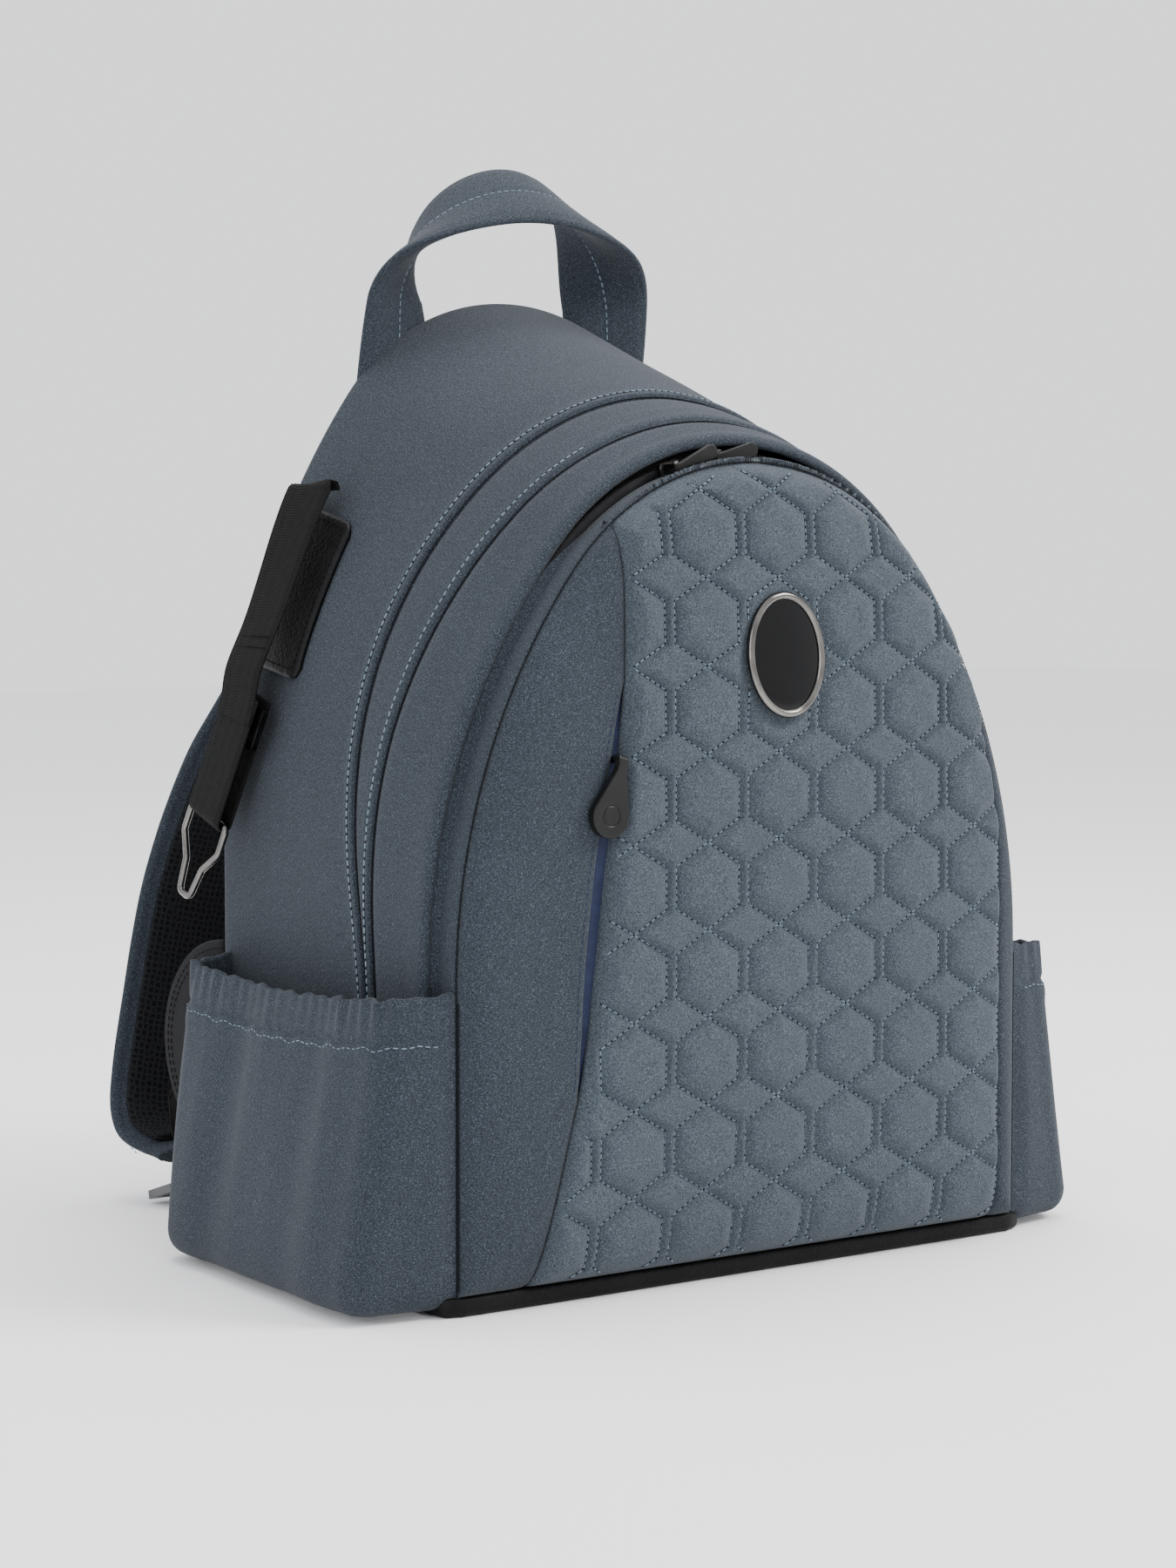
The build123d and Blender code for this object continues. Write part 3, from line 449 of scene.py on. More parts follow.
MATERIAL = {
    "shell": melange("melange_twill", (0.0075, 0.01, 0.0145), (0.0235, 0.03, 0.0385), (0.084, 0.1, 0.12)),
    "quilt": melange("melange_quilt", (0.014, 0.018, 0.024), (0.046, 0.057, 0.069), (0.122, 0.143, 0.166)),
    "webbing": ribbed("black_webbing", (0.0010, 0.0010, 0.0011), (0.0085, 0.0082, 0.0080)),
    "leather": pebbled("leather_look", (0.002, 0.002, 0.0022), (0.0065, 0.0065, 0.007)),
    "base": pebbled("base_leather_look", (0.0015, 0.0015, 0.0017), (0.005, 0.005, 0.0055), 480.0, 0.55),
    "mesh": spacer("air_mesh"),
    "lining": woven("navy_lining", (0.006, 0.010, 0.034), (0.014, 0.022, 0.062), 2600.0, 0.55, 0.1),
    "back": woven("black_weave", (0.003, 0.003, 0.0035), (0.010, 0.0105, 0.0115), 1500.0, 0.85, 0.02),
    "tape": woven("zip_tape_weave", (0.004, 0.004, 0.005), (0.013, 0.013, 0.015), 2000.0, 0.8),
    "elastic": ribbed("black_elastic", (0.002, 0.002, 0.002), (0.009, 0.009, 0.009)),
    "metal": plated("gunmetal", (0.10, 0.095, 0.09), (0.20, 0.19, 0.18), 0.2),
    "black_metal": plated("black_plating", (0.012, 0.012, 0.012), (0.03, 0.03, 0.03), 0.32),
    "rim": plated("gunmetal_rim", (0.10, 0.095, 0.09), (0.20, 0.19, 0.175), 0.16),
    "rubber": moulded("pull_rubber", (0.003, 0.003, 0.003), (0.007, 0.007, 0.007), 0.42, 0.3, 0.22),
    "enamel": moulded("badge_enamel", (0.0005, 0.0005, 0.0006), (0.001, 0.001, 0.0012), 0.09, 0.01, 0.22),
    "plastic": moulded("buckle_plastic", (0.055, 0.055, 0.056), (0.085, 0.085, 0.086), 0.45),
    "board": moulded("stiffener_board", (0.02, 0.02, 0.02), (0.03, 0.03, 0.03), 0.7),
    "thread": woven("thread", (0.10, 0.145, 0.185), (0.24, 0.31, 0.37), 5000.0, 0.7, 0.1),
    # painted shade: a near-black cloth for dashes and cords that stand in for the shadow in stitch dips and
    # seam grooves
    "painted_shade": woven("painted_stitch_shadow", (0.002, 0.003, 0.004), (0.006, 0.008, 0.011), 5000.0, 0.9, 0.0),
}


# ---------------------------------------------------------------- the arches and the shell
def arch_line(arch, count, low=FLOOR):
    """An arch from bottom left over the crown to bottom right, at even steps, in x and z."""
    half, spring, height, crown = arch
    rise = height - crown - spring
    side = (half**2 + rise**2 - crown**2) / (2 * (half - crown))
    turn = atan2(rise, side - half)
    a = np.linspace(0, turn, 90)
    flank = np.stack([half - side + side * np.cos(a), spring + side * np.sin(a)], axis=1)
    b = np.linspace(pi / 2 - turn, 0, 90)
    top = np.stack([crown * np.sin(b), height - crown + crown * np.cos(b)], axis=1)
    right = np.concatenate([[(half, low)], flank, top[1:]])
    left = right[:-1] * (-1, 1)
    return resample(np.concatenate([left, right[::-1]]), count)


COUNT = 481
SHARES = np.linspace(0, 1, COUNT)
LINES = {key: arch_line(arch, COUNT) for key, arch in
         (("back", BACK_ARCH), ("flange", FLANGE_ARCH), ("seam", SEAM_ARCH))}


def outward(line):
    """Unit normals of an arch line, pointing out of the bag."""
    along = unit(np.gradient(line, axis=0))
    return np.stack([-along[:, 1], along[:, 0]], axis=1)


NORMALS = {key: outward(line) for key, line in LINES.items()}


def shell_at(share, y, out):
    """Points of the shell a share of the way round, at depth y, out millimetres proud of it."""
    share, y, out = np.broadcast_arrays(share, y, out)
    f = (BACK_Y - y) / (BACK_Y - FLANGE_Y)
    pick = lambda table, key, k: np.interp(share, SHARES, table[key][:, k])
    x = pick(LINES, "back", 0) * (1 - f) + pick(LINES, "flange", 0) * f
    z = pick(LINES, "back", 1) * (1 - f) + pick(LINES, "flange", 1) * f
    nx = pick(NORMALS, "back", 0) * (1 - f) + pick(NORMALS, "flange", 0) * f
    nz = pick(NORMALS, "back", 1) * (1 - f) + pick(NORMALS, "flange", 1) * f
    size = np.hypot(nx, nz)
    nx, nz = nx / size, nz / size
    bow = np.sin(pi * np.clip(f, 0, 1))
    swell = SHELL_SWELL * bow * np.exp(-(((z - 235) / 80) ** 2)) * np.abs(nx)
    slack = SHELL_SLACK * bow * np.sin(x / 19 + y / 27 + 0.7) * np.sin(z / 33 + y / 41)
    total = out + swell + slack
    return np.stack([x + nx * total, y, z + nz * total], axis=-1)


middle_z = LINES["back"][:, 1] * 0.33 + LINES["flange"][:, 1] * 0.67
SEAM_1 = np.interp(
    middle_z, [8, 143, 178, 214, 251, 287, 324, 345, 362, 377, 384],
    [-33, -29, -22, -13, -7, -7, -11, -16, -21, -25, -26],
)
SEAM_2 = np.interp(
    middle_z, [8, 130, 178, 220, 260, 300, 330, 352, 368, 384],
    [-38, -36, -33, -31, -32, -37, -43, -49, -53, -55],
)
soften = np.ones(31) / 31
SEAM_1 = np.convolve(np.pad(SEAM_1, 15, mode="edge"), soften, mode="valid")
SEAM_2 = np.convolve(np.pad(SEAM_2, 15, mode="edge"), soften, mode="valid")


def painted_seam_shadow(name, points, normals, body):
    """A near-black line down in the seam where two cloths meet: painted shadow that stands in for the shade
    of the seam groove.
    """
    cord = thread(name, [(points, normals)], pitch=2.0, length=2.25, width=0.75, rise=0.5, material="painted_shade")
    attach(cord, body, "shell_fabric")


def build_shell():
    """Three gussets and the rain flange as one closed sheet with folded seams."""
    rows = []
    add = lambda y, out: rows.append(shell_at(SHARES, y, out))
    for turn in np.linspace(0.1, 1, 8) * pi / 2:
        add(np.full(COUNT, BACK_Y + 0.6 + 6.0 * cos(turn)), -6.0 + 6.0 * sin(turn))
    for k in np.linspace(0.03, 1, 30):
        add(BACK_Y + 0.6 + (SEAM_1 + 9 - BACK_Y - 0.6) * k, 0.0)
    rear_fold = (
        (7.6, 0.15), (6.4, 0.5), (5.2, 0.7), (4.0, 0.35), (2.8, 0.95), (1.6, 1.1), (0.8, 0.95), (0.3, 0.5),
    )
    for d, out in rear_fold:
        add(SEAM_1 + d, out)
    add(SEAM_1 + 0.1, -1.2)
    add(SEAM_1, -2.6)
    wide = SEAM_1 - SEAM_2
    for f, out in ((0.01, -2.3), (0.03, -1.5), (0.08, -0.85), (0.16, -0.35), (0.30, 0.0), (0.46, 0.15)):
        add(SEAM_1 - wide * f, out)
    front_fold = (
        (0.52, 0.3), (0.62, 0.7), (0.72, 0.45), (0.81, 0.9), (0.89, 1.05), (0.95, 0.8), (0.985, 0.2),
    )
    for f, out in front_fold:
        add(SEAM_1 - wide * f, out)
    add(SEAM_2, -2.6)
    for d, out in ((0.25, -2.2), (0.8, -1.3), (1.9, -0.65), (3.2, -0.2), (5.0, 0.1)):
        add(SEAM_2 - d, out)
    for k in np.linspace(0.06, 1, 16):
        add(SEAM_2 - 5 + (FLANGE_Y + 2.6 - SEAM_2 + 5) * k, 0.2 + 0.5 * smoothstep((k - 0.6) * 3))
    for turn in np.linspace(0.15, 1, 9) * pi:
        add(np.full(COUNT, FLANGE_Y + 2.6 - 2.6 * sin(turn)), -1.9 + 2.6 * cos(turn))
    for y, out in ((-70.0, -4.6), (-66.0, -4.4), (-61.0, -4.2), (-57.0, -3.6)):
        add(np.full(COUNT, y), out)
    for y in np.linspace(-50, 93, 12):
        add(np.full(COUNT, y), -3.4)
    return grid("body_shell", np.array(rows), MATERIAL["shell"], close_rows=True)


def shell_stitches(seam, offset, name, fade):
    """A topstitch that follows a shell seam, set behind its fold, with its ends left out by fade."""
    keep = slice(4, COUNT - 4)
    share, y = SHARES[keep], (seam + offset)[keep]
    points = shell_at(share, y, 0.85)
    normals = shell_at(share, y, 3.0) - points
    shown = np.abs(share - 0.5) > fade
    halves = [shown & (share < 0.5), shown & (share > 0.5)] if fade else [shown]
    return [(points[h], normals[h]) for h in halves]


attach(build_shell(), "bag", "shell_fabric", "rear_gusset", "gusset_strip", "front_gusset")
seam_lines = shell_stitches(SEAM_1, 4.0, "rear", 0.0) + shell_stitches(SEAM_2, 3.2, "front", 0.07)
# painted shadow: dark lines down in the rear and front shell seams
for name, seam in (("rear", SEAM_1), ("front", SEAM_2)):
    deep = shell_at(SHARES, seam - 0.15, -0.75)
    painted_seam_shadow(f"shell_seam_painted_shadow_{name}", deep, shell_at(SHARES, seam, 3.0) - deep, "bag")
TOPSTITCH = {
    "shell_topstitch": dict(length=2.5, width=0.85, rise=0.85),
    # painted shade: near-black dashes between the stitches stand in for the shadow where each stitch dips
    "shell_needle_holes": dict(length=0.9, width=1.0, rise=0.5, shift=0.5, material="painted_shade"),
}
for name, facts in TOPSTITCH.items():
    attach(thread(name, seam_lines, pitch=3.5, **facts), "bag", "shell_fabric")


# ---------------------------------------------------------------- band between flange and front
def ring_rows(line_key, profile, low=0.0, high=1.0):
    """A closed grid that carries a profile of (y, out) round an arch."""
    keep = (SHARES >= low) & (SHARES <= high)
    line, normal = LINES[line_key][keep], NORMALS[line_key][keep]
    rows = []
    for y, out in profile:
        x = line[:, 0] + normal[:, 0] * out
        z = line[:, 1] + normal[:, 1] * out
        rows.append(np.stack([x, np.full(len(x), y), z], axis=1))
    return np.array(rows)


lip = 1 - smoothstep((SHARES - 0.355) / 0.045)
band_section = [
    (-86.4, -2.8), (-87.8, -2.0), (-88.4, -1.0), (-88.2, -0.2), (-87.2, 0.4), (-85.5, 0.7), (-82.0, 0.7),
    (-78.5, 0.6), (-75.8, 0.4), (-75.2, 0.1 + 2.4 * lip), (-74.8, -0.2 + 5.0 * lip),
    (-72.4, -0.4 + 5.6 * lip), (-70.2, -0.6 + 5.4 * lip), (-70.0, -1.0 + 4.0 * lip),
    (-74.6, -1.6), (-78.0, -2.2), (-82.0, -2.5), (-85.4, -2.9),
]
band_rows = ring_rows("seam", band_section)
band = grid("zip_band_cloth", band_rows, MATERIAL["shell"], close_rows=True, flip=True)
attach(band, FLAP, "shell_fabric", "zip_band")
# painted shadow: a dark line down in the groove of the seam round the front panels
joint_line = ring_rows("seam", [(-88.4, 0.3)])[0]
joint_out = np.stack([NORMALS["seam"][:, 0], np.full(COUNT, -1.0), NORMALS["seam"][:, 1]], axis=1)
painted_seam_shadow("front_seam_painted_shadow", joint_line, unit(joint_out), FLAP)

fold_share = np.interp(132.5, LINES["seam"][: COUNT // 2, 1], SHARES[: COUNT // 2])
front_tape_profile = [(-74.0, -0.6), (-74.0, 3.2), (-73.0, 3.6), (-71.8, 3.4), (-71.8, -0.6)]
front_tape = grid("zip_front_tape_cloth", ring_rows("seam", front_tape_profile, fold_share, 1 - fold_share),
                  MATERIAL["tape"], close_rows=True, flip=True)
attach(front_tape, "front_flap", "zip_tape", "zip_front_tape")
rear_tape_profile = [
    (-70.8, 1.6), (-70.8, 5.2), (-66.0, 5.8), (-62.0, 6.0), (-62.0, 4.6), (-69.0, 4.2), (-69.2, 1.6),
]
rear_tape = grid("zip_rear_tape_cloth", ring_rows("seam", rear_tape_profile, fold_share, 1 - fold_share),
                 MATERIAL["tape"], close_rows=True, flip=True)
attach(rear_tape, "bag", "zip_tape", "zip_rear_tape")


def chain(name, y, out, body):
    """One side's coil of the main zip, as a row of teeth that lie across the seam."""
    keep = (SHARES >= fold_share) & (SHARES <= 1 - fold_share)
    line, normal = LINES["seam"][keep], NORMALS["seam"][keep]
    line = resample(line + normal * out, 560)
    normal = outward(line)
    parts = []
    for k in range(0, 559):
        centre = np.array([line[k, 0], y, line[k, 1]])
        up = np.array([normal[k, 0], 0.0, normal[k, 1]])
        parts.append((np.stack([centre + (0, -0.9, 0), centre + (0, 0.9, 0)]), np.stack([up, up])))
    teeth = thread(name, parts, pitch=2.0, length=1.9, width=0.8, rise=0.9)
    teeth.data.materials[0] = MATERIAL["rubber"]
    attach(teeth, body, "zip_tape")


chain("zip_coil_front", -73.0, 4.2, "front_flap")
chain("zip_coil_rear", -70.9, 4.6, "bag")


# ---------------------------------------------------------------- front panels
EDGE = arch_line(SEAM_ARCH, 700)
SLIT_Z = (85.0, 258.0)
SLIT_GAPE = 6.8
QUILT_LEFT = ([8, 17, 60, 83, 95, 113, 160, 180, 199, 226, 258, 300, 316, 350],
              [-119, -117, -106, -100, -96.5, -93, -87.3, -84.8, -81.5, -77.8, -75.2, -74, -74.5, -76])
QUILT_RIGHT = ([8, 190, 235, 276, 350], [137, 137, 127.5, 113.5, 92])
PITCH_X, PITCH_Z = 38.2, 37.0
HEX_HALF, HEX_POINT, HEX_SIDE = 16.6, 18.5, 8.9
HEX_X, HEX_Z = 3.0, 319.5
BADGE = (5.0, 268.0)


def quilt_left(z):
    """Where the quilted panel ends on the slit's side."""
    return np.interp(z, *QUILT_LEFT)


def quilt_right(z):
    """Where the quilted panel ends on the other side."""
    return np.interp(z, *QUILT_RIGHT)


def slit_gape(z):
    """Width of the open slit at height z."""
    middle = (SLIT_Z[0] + SLIT_Z[1]) / 2
    reach = (SLIT_Z[1] - SLIT_Z[0]) / 2
    return SLIT_GAPE * np.clip(1 - np.abs((z - middle) / reach) ** 3, 0, 1)


def edge_distance(x, z):
    """How far a point of the front is from the seam round it."""
    flat = np.stack([np.ravel(x), np.ravel(z)], axis=1)
    best = flat[:, 1] - FLOOR
    for start in range(0, len(flat), 4000):
        part = flat[start:start + 4000]
        gap = np.sqrt(((part[:, None] - EDGE[None]) ** 2).sum(axis=2)).min(axis=1)
        best[start:start + 4000] = np.minimum(best[start:start + 4000], gap)
    return np.maximum(best, 0).reshape(np.shape(x))


def front_base(x, z):
    """The crowned front before any seam or quilting."""
    d = edge_distance(x, z)
    return SEAM_Y - 7.0 * (1 - np.exp(-d / 8.0)) - 5.2 * (1 - np.exp(-d / 62.0)) + 3.2 * np.exp(-d / 1.3), d


def hexagon_gap(x, z):
    """Signed distance to the nearest quilted hexagon's outline, negative inside it."""
    a = np.abs((x - HEX_X + PITCH_X / 2) % PITCH_X - PITCH_X / 2)
    b = np.abs((z - HEX_Z + PITCH_Z / 2) % PITCH_Z - PITCH_Z / 2)
    slope = (HEX_POINT - HEX_SIDE) / HEX_HALF
    roof = (slope * a + b - HEX_POINT) / np.hypot(slope, 1)
    return np.maximum(a - HEX_HALF, roof)


def pillow(distance, reach):
    """Height of stuffed cloth at a distance from the stitches that hold it down."""
    return 1 - (1 - np.clip(distance / reach, 0, 1)) ** 2.1


def quilt_y(x, z):
    """Outer surface of the quilted panel."""
    y, d = front_base(x, z)
    gap = hexagon_gap(x, z)
    puff = np.where(gap < 0, 3.9 * pillow(-gap, 9.5), 2.9 * pillow(gap, 4.8))
    puff = puff - 0.5 * np.exp(-((gap / 0.9) ** 2))
    left = x - quilt_left(z)
    right = quilt_right(z) - x
    rim = smoothstep(np.minimum(np.minimum(left / 7.0, right / 6.0), d / 9.0))
    lip = 1.3 * smoothstep(left / 3.0) * smoothstep(right / 4.0) * smoothstep(d / 5.0)
    under = np.hypot((x - BADGE[0]) / 24.0, (z - BADGE[1]) / 30.0)
    flat = smoothstep((under - 0.82) / 0.4)
    left, right = np.maximum(left, 0), np.maximum(right, 0)
    rolled = 2.4 * np.exp(-left / 1.1) + 1.6 * np.exp(-right / 1.6)
    rolled = rolled + 3.0 * slit_gape(z) / SLIT_GAPE * np.exp(-left / 5.5)
    return y - lip - puff * rim * flat - 0.6 * (1 - flat) + rolled


def strip_y(x, z):
    """Outer surface of the plain strip on the slit's side."""
    y, d = front_base(x, z)
    border = quilt_left(z) - slit_gape(z)
    gap = border - x
    closed = 1 - slit_gape(z) / SLIT_GAPE
    crease = (1.2 + 1.2 * closed) * np.exp(-np.maximum(gap, 0) / 2.2)
    slack = 0.5 * np.sin(z / 29 + x / 17) * smoothstep(d / 12) * smoothstep(gap / 8)
    return y + crease - slack


def edge_y(x, z):
    """Outer surface of the narrow plain strip on the other side."""
    y, d = front_base(x, z)
    gap = x - quilt_right(z)
    slack = 0.4 * np.sin(z / 31) * smoothstep(d / 10) * smoothstep(gap / 8)
    return y + 2.2 * np.exp(-np.maximum(gap, 0) / 2.0) - slack


def seam_half(z):
    """Half the width of the front at height z, to its seam."""
    half = EDGE[len(EDGE) // 2:]
    return np.interp(z, half[::-1, 1], half[::-1, 0])


def front_rows(low, high, step):
    """Heights of the rows of a front panel, closer together towards the crown."""
    line = arch_line(SEAM_ARCH, 1401)[:701]
    run = np.arange(701)
    heights = np.interp(run, run, line[:, 1])
    kept = heights[(heights >= low) & (heights <= high)]
    count = max(int(len(kept) / step), 2)
    return np.interp(np.linspace(0, len(kept) - 1, count), np.arange(len(kept)), kept)


def front_piece(name, low, high, left, right, surface, columns, material, step, thick):
    """A front panel between two borders, as a closed sheet."""
    z = front_rows(low, high, step)[:, None]
    t = np.linspace(0, 1, columns)[None]
    t = 0.5 - 0.5 * np.sin((0.5 - t) * pi) * 0.5 - 0.5 * (0.5 - t)
    x0, x1 = left(z), right(z)
    x = x0 + (x1 - x0) * t
    z = np.broadcast_to(z, x.shape)
    points = np.stack([x, surface(x, z), z], axis=2)
    return cloth(name, points, material, thick, flip=True)


def sewn_half(z):
    """Half the width of the front panels at height z, just inside the seam round them."""
    return seam_half(z) - 0.3


quilt = front_piece(
    "quilted_panel", FLOOR + 0.5, 349.9, lambda z: np.maximum(quilt_left(z), -sewn_half(z)),
    lambda z: np.minimum(quilt_right(z), sewn_half(z)), quilt_y, 236, MATERIAL["quilt"], 1.6, 2.6,
)
strip = front_piece(
    "side_strip", FLOOR + 0.5, 324.0, lambda z: np.minimum(-sewn_half(z), quilt_left(z) - 0.5),
    lambda z: quilt_left(z) - slit_gape(z) - 0.1, strip_y, 46, MATERIAL["shell"], 2.6, 2.4,
)
edge = front_piece(
    "edge_strip", FLOOR + 0.5, 275.0, lambda z: quilt_right(z) + 0.1, sewn_half,
    edge_y, 22, MATERIAL["shell"], 3.0, 2.4,
)
for piece, slot, nodes in (
    (quilt, "quilted_fabric", ("quilted_panel_upper", "quilted_panel_lower")),
    (strip, "shell_fabric", ("side_strip_upper", "side_strip_lower")),
    (edge, "shell_fabric", ("edge_strip_upper", "edge_strip_lower")),
):
    attach(piece, FLAP, slot, *nodes)


def on_front(x, z, surface, lift):
    """Points and outward directions on a front panel."""
    y = surface(x, z)
    base = lambda a, b: front_base(a, b)[0]
    slope_x = base(x + 1.0, z) - base(x - 1.0, z)
    slope_z = base(x, z + 1.0) - base(x, z - 1.0)
    normals = unit(np.stack([slope_x / 2, -np.ones_like(x), slope_z / 2], axis=1))
    return np.stack([x, y, z], axis=1) + normals * lift, normals


def quilt_lines():
    """Every side of every hexagon that lies on the quilted panel."""
    sides = [
        ((0, HEX_POINT), (HEX_HALF, HEX_SIDE)), ((HEX_HALF, HEX_SIDE), (HEX_HALF, -HEX_SIDE)),
        ((HEX_HALF, -HEX_SIDE), (0, -HEX_POINT)), ((0, -HEX_POINT), (-HEX_HALF, -HEX_SIDE)),
        ((-HEX_HALF, -HEX_SIDE), (-HEX_HALF, HEX_SIDE)), ((-HEX_HALF, HEX_SIDE), (0, HEX_POINT)),
    ]
    lines = []
    for column in range(-4, 5):
        for row in range(-1, 10):
            centre = np.array([HEX_X + column * PITCH_X, HEX_Z - row * PITCH_Z])
            for start, end in sides:
                place = np.linspace(centre + start, centre + end, 19)
                x, z = place[:, 0], place[:, 1]
                under = np.hypot((x - BADGE[0]) / 21.5, (z - BADGE[1]) / 27.5)
                free = (x > quilt_left(z) + 2.4) & (x < quilt_right(z) - 2.4) & (under > 1)
                free &= (z < 349) & (z > FLOOR + 3)
                free &= edge_distance(x, z) > 3.2
                free &= (np.abs(x) < seam_half(z))
                if free.sum() > 4:
                    lines.append(on_front(x[free], z[free], quilt_y, 0.45))
    return lines


lines = quilt_lines()
QUILT_THREAD = {
    "quilt_stitching": dict(length=2.05, width=0.68, rise=0.75),
    # painted shade: near-black dashes between the quilting stitches stand in for the shadow where each
    # stitch dips
    "quilt_needle_holes": dict(length=0.7, width=0.85, rise=0.6, shift=0.5, material="painted_shade"),
}
for name, facts in QUILT_THREAD.items():
    attach(thread(name, lines, pitch=2.75, **facts), FLAP, "quilted_fabric")

slit_run = np.linspace(SLIT_Z[0] + 4, SLIT_Z[1] - 4, 120)
slit_thread = thread(
    "slit_stitching",
    [on_front(quilt_left(slit_run) - slit_gape(slit_run) - 3.0, slit_run, strip_y, 0.1)],
    pitch=3.2, length=2.2, width=0.5, rise=0.4,
)
slit_thread.data.materials[0] = MATERIAL["lining"]
attach(slit_thread, FLAP, "shell_fabric")


def behind_front(name, low, high, left, right, depth, columns, material, thick):
    """A sheet that follows the crowned front at a depth behind it."""
    z = np.linspace(low, high, 60)[:, None]
    t = np.linspace(0, 1, columns)[None]
    x = left(z) + (right(z) - left(z)) * t
    z = np.broadcast_to(z, x.shape)
    return cloth(name, np.stack([x, front_base(x, z)[0] + depth, z], axis=2), material, thick, flip=True)


zip_lining = behind_front("pocket_zip_cloth", SLIT_Z[0] - 4, SLIT_Z[1] + 4, lambda z: quilt_left(z) - 11,
                          lambda z: quilt_left(z) + 6, 4.4, 12, MATERIAL["lining"], 0.8)
attach(zip_lining, FLAP, "zip_tape", "pocket_zip_tape_upper", "pocket_zip_tape_lower")

lining_z = np.concatenate([np.linspace(10, 300, 60), np.linspace(302, 345, 30)])[:, None]
lining_x = (seam_half(lining_z) - 4.2) * np.linspace(-1, 1, 60)[None]
lining_z = np.broadcast_to(lining_z, lining_x.shape)
lining_y = -85.2 + 0.5 * np.sin(lining_x / 21) * np.sin(lining_z / 27)
lining_points = np.stack([lining_x, lining_y, lining_z], axis=2)
pocket_lining = cloth("pocket_lining_cloth", lining_points, MATERIAL["lining"], 1.0, flip=True)
attach(pocket_lining, FLAP, "lining_fabric", "pocket_lining_upper", "pocket_lining_lower")


# ---------------------------------------------------------------- lower front corners
def front_corner(side):
    """Below the fold, the shell turns in to the front seam."""
    z = np.linspace(8, 131, 30)[:, None]
    t = np.linspace(0, 1, 8)[None]
    x = -(160.2 - 7.4 * t) + 0 * z
    y = -75.5 - 13.0 * t - 1.4 * np.sin(pi * t) + 0 * z
    points = np.stack([x, y, z + 0 * t], axis=2)
    points = on_side(side, points)
    piece = cloth(f"front_corner_cloth_{side}", points, MATERIAL["shell"], 2.4, flip=side == "left")
    attach(piece, "bag", "shell_fabric", f"front_corner_{side}")


for side in ("left", "right"):
    front_corner(side)

# ---------------------------------------------------------------- side pockets
ROUND = 170  # points round a side pocket
HEM_RUN = 245.0  # millimetres round its hem


def pocket_plan(z):
    """Outline of the left pocket at a height, from the front seam round the outside to the back."""
    h = np.clip((z - 3) / 129, 0, 1)
    front, rear, r = -202 + 21 * h, -194 + 15 * h, 15.0
    a = np.linspace(0, pi / 2, 12)
    nose = np.stack([front + r - r * np.sin(a), -84.5 + r - r * np.cos(a)], axis=1)
    tail = np.stack([rear + r - r * np.cos(a), 91.5 - r + r * np.sin(a)], axis=1)
    return resample(np.concatenate([[(-152.8, -88.4)], nose, tail, [(-149.0, 93.5)]]), ROUND)


def pocket_skin(z, depth):
    """A ring of the pocket at height z (an array over its length), depth millimetres inside its face."""
    s = np.linspace(0, 1, ROUND)
    run = s * HEM_RUN
    level = float(np.mean(z))
    plan = pocket_plan(level)
    along = unit(np.gradient(plan, axis=0))
    out = np.stack([-along[:, 1], along[:, 0]], axis=1)
    out = -out if out[ROUND // 2, 0] > 0 else out
    h = np.clip((level - 3) / 129, 0, 1)
    held = smoothstep(s / 0.05) * smoothstep((1 - s) / 0.05)
    corner = np.exp(-(((s - 0.21) / 0.09) ** 2)) + np.exp(-(((s - 0.82) / 0.09) ** 2))
    ruche = np.sin(run / 1.45 + 0.8 * np.sin(run / 13)) + 0.6 * np.sin(run / 2.1 + 1.3)
    ruche = ruche + 0.5 * np.sin(run / 3.3)
    near_hem = np.exp(-(((h - 1) / 0.115) ** 2))
    gather = ruche * (0.30 + 0.75 * corner) * near_hem
    drape = np.sin(run / 9.5 + 1.2 * h) + 0.7 * np.sin(run / 15.3 + 2.1 - 1.6 * h)
    drape = drape + 0.4 * np.sin(run / 5.6 + 3 * h)
    drape = drape * 1.05 * np.sin(pi * np.clip(h * 0.94 + 0.03, 0, 1)) ** 0.6
    belly = 2.2 * np.sin(pi * s) * np.sin(pi * np.clip(h, 0, 1)) ** 0.8
    seam = -0.9 * np.exp(-(((level - 112.5) / 1.5) ** 2)) + 0.7 * np.exp(-(((level - 107) / 4.0) ** 2))
    total = (gather + drape + belly + seam) * held - depth
    flat = plan + out * total[:, None]
    return np.stack([flat[:, 0], flat[:, 1], z * np.ones(ROUND)], axis=1)


def pocket_top():
    """Height of the hem's edge, round the pocket."""
    s = np.linspace(0, 1, ROUND)
    run = s * HEM_RUN
    return 132.6 - 5.6 * np.sin(pi * s) ** 1.5 + 0.5 * np.sin(run / 2.2) + 0.45 * np.sin(run / 3.7 + 1)


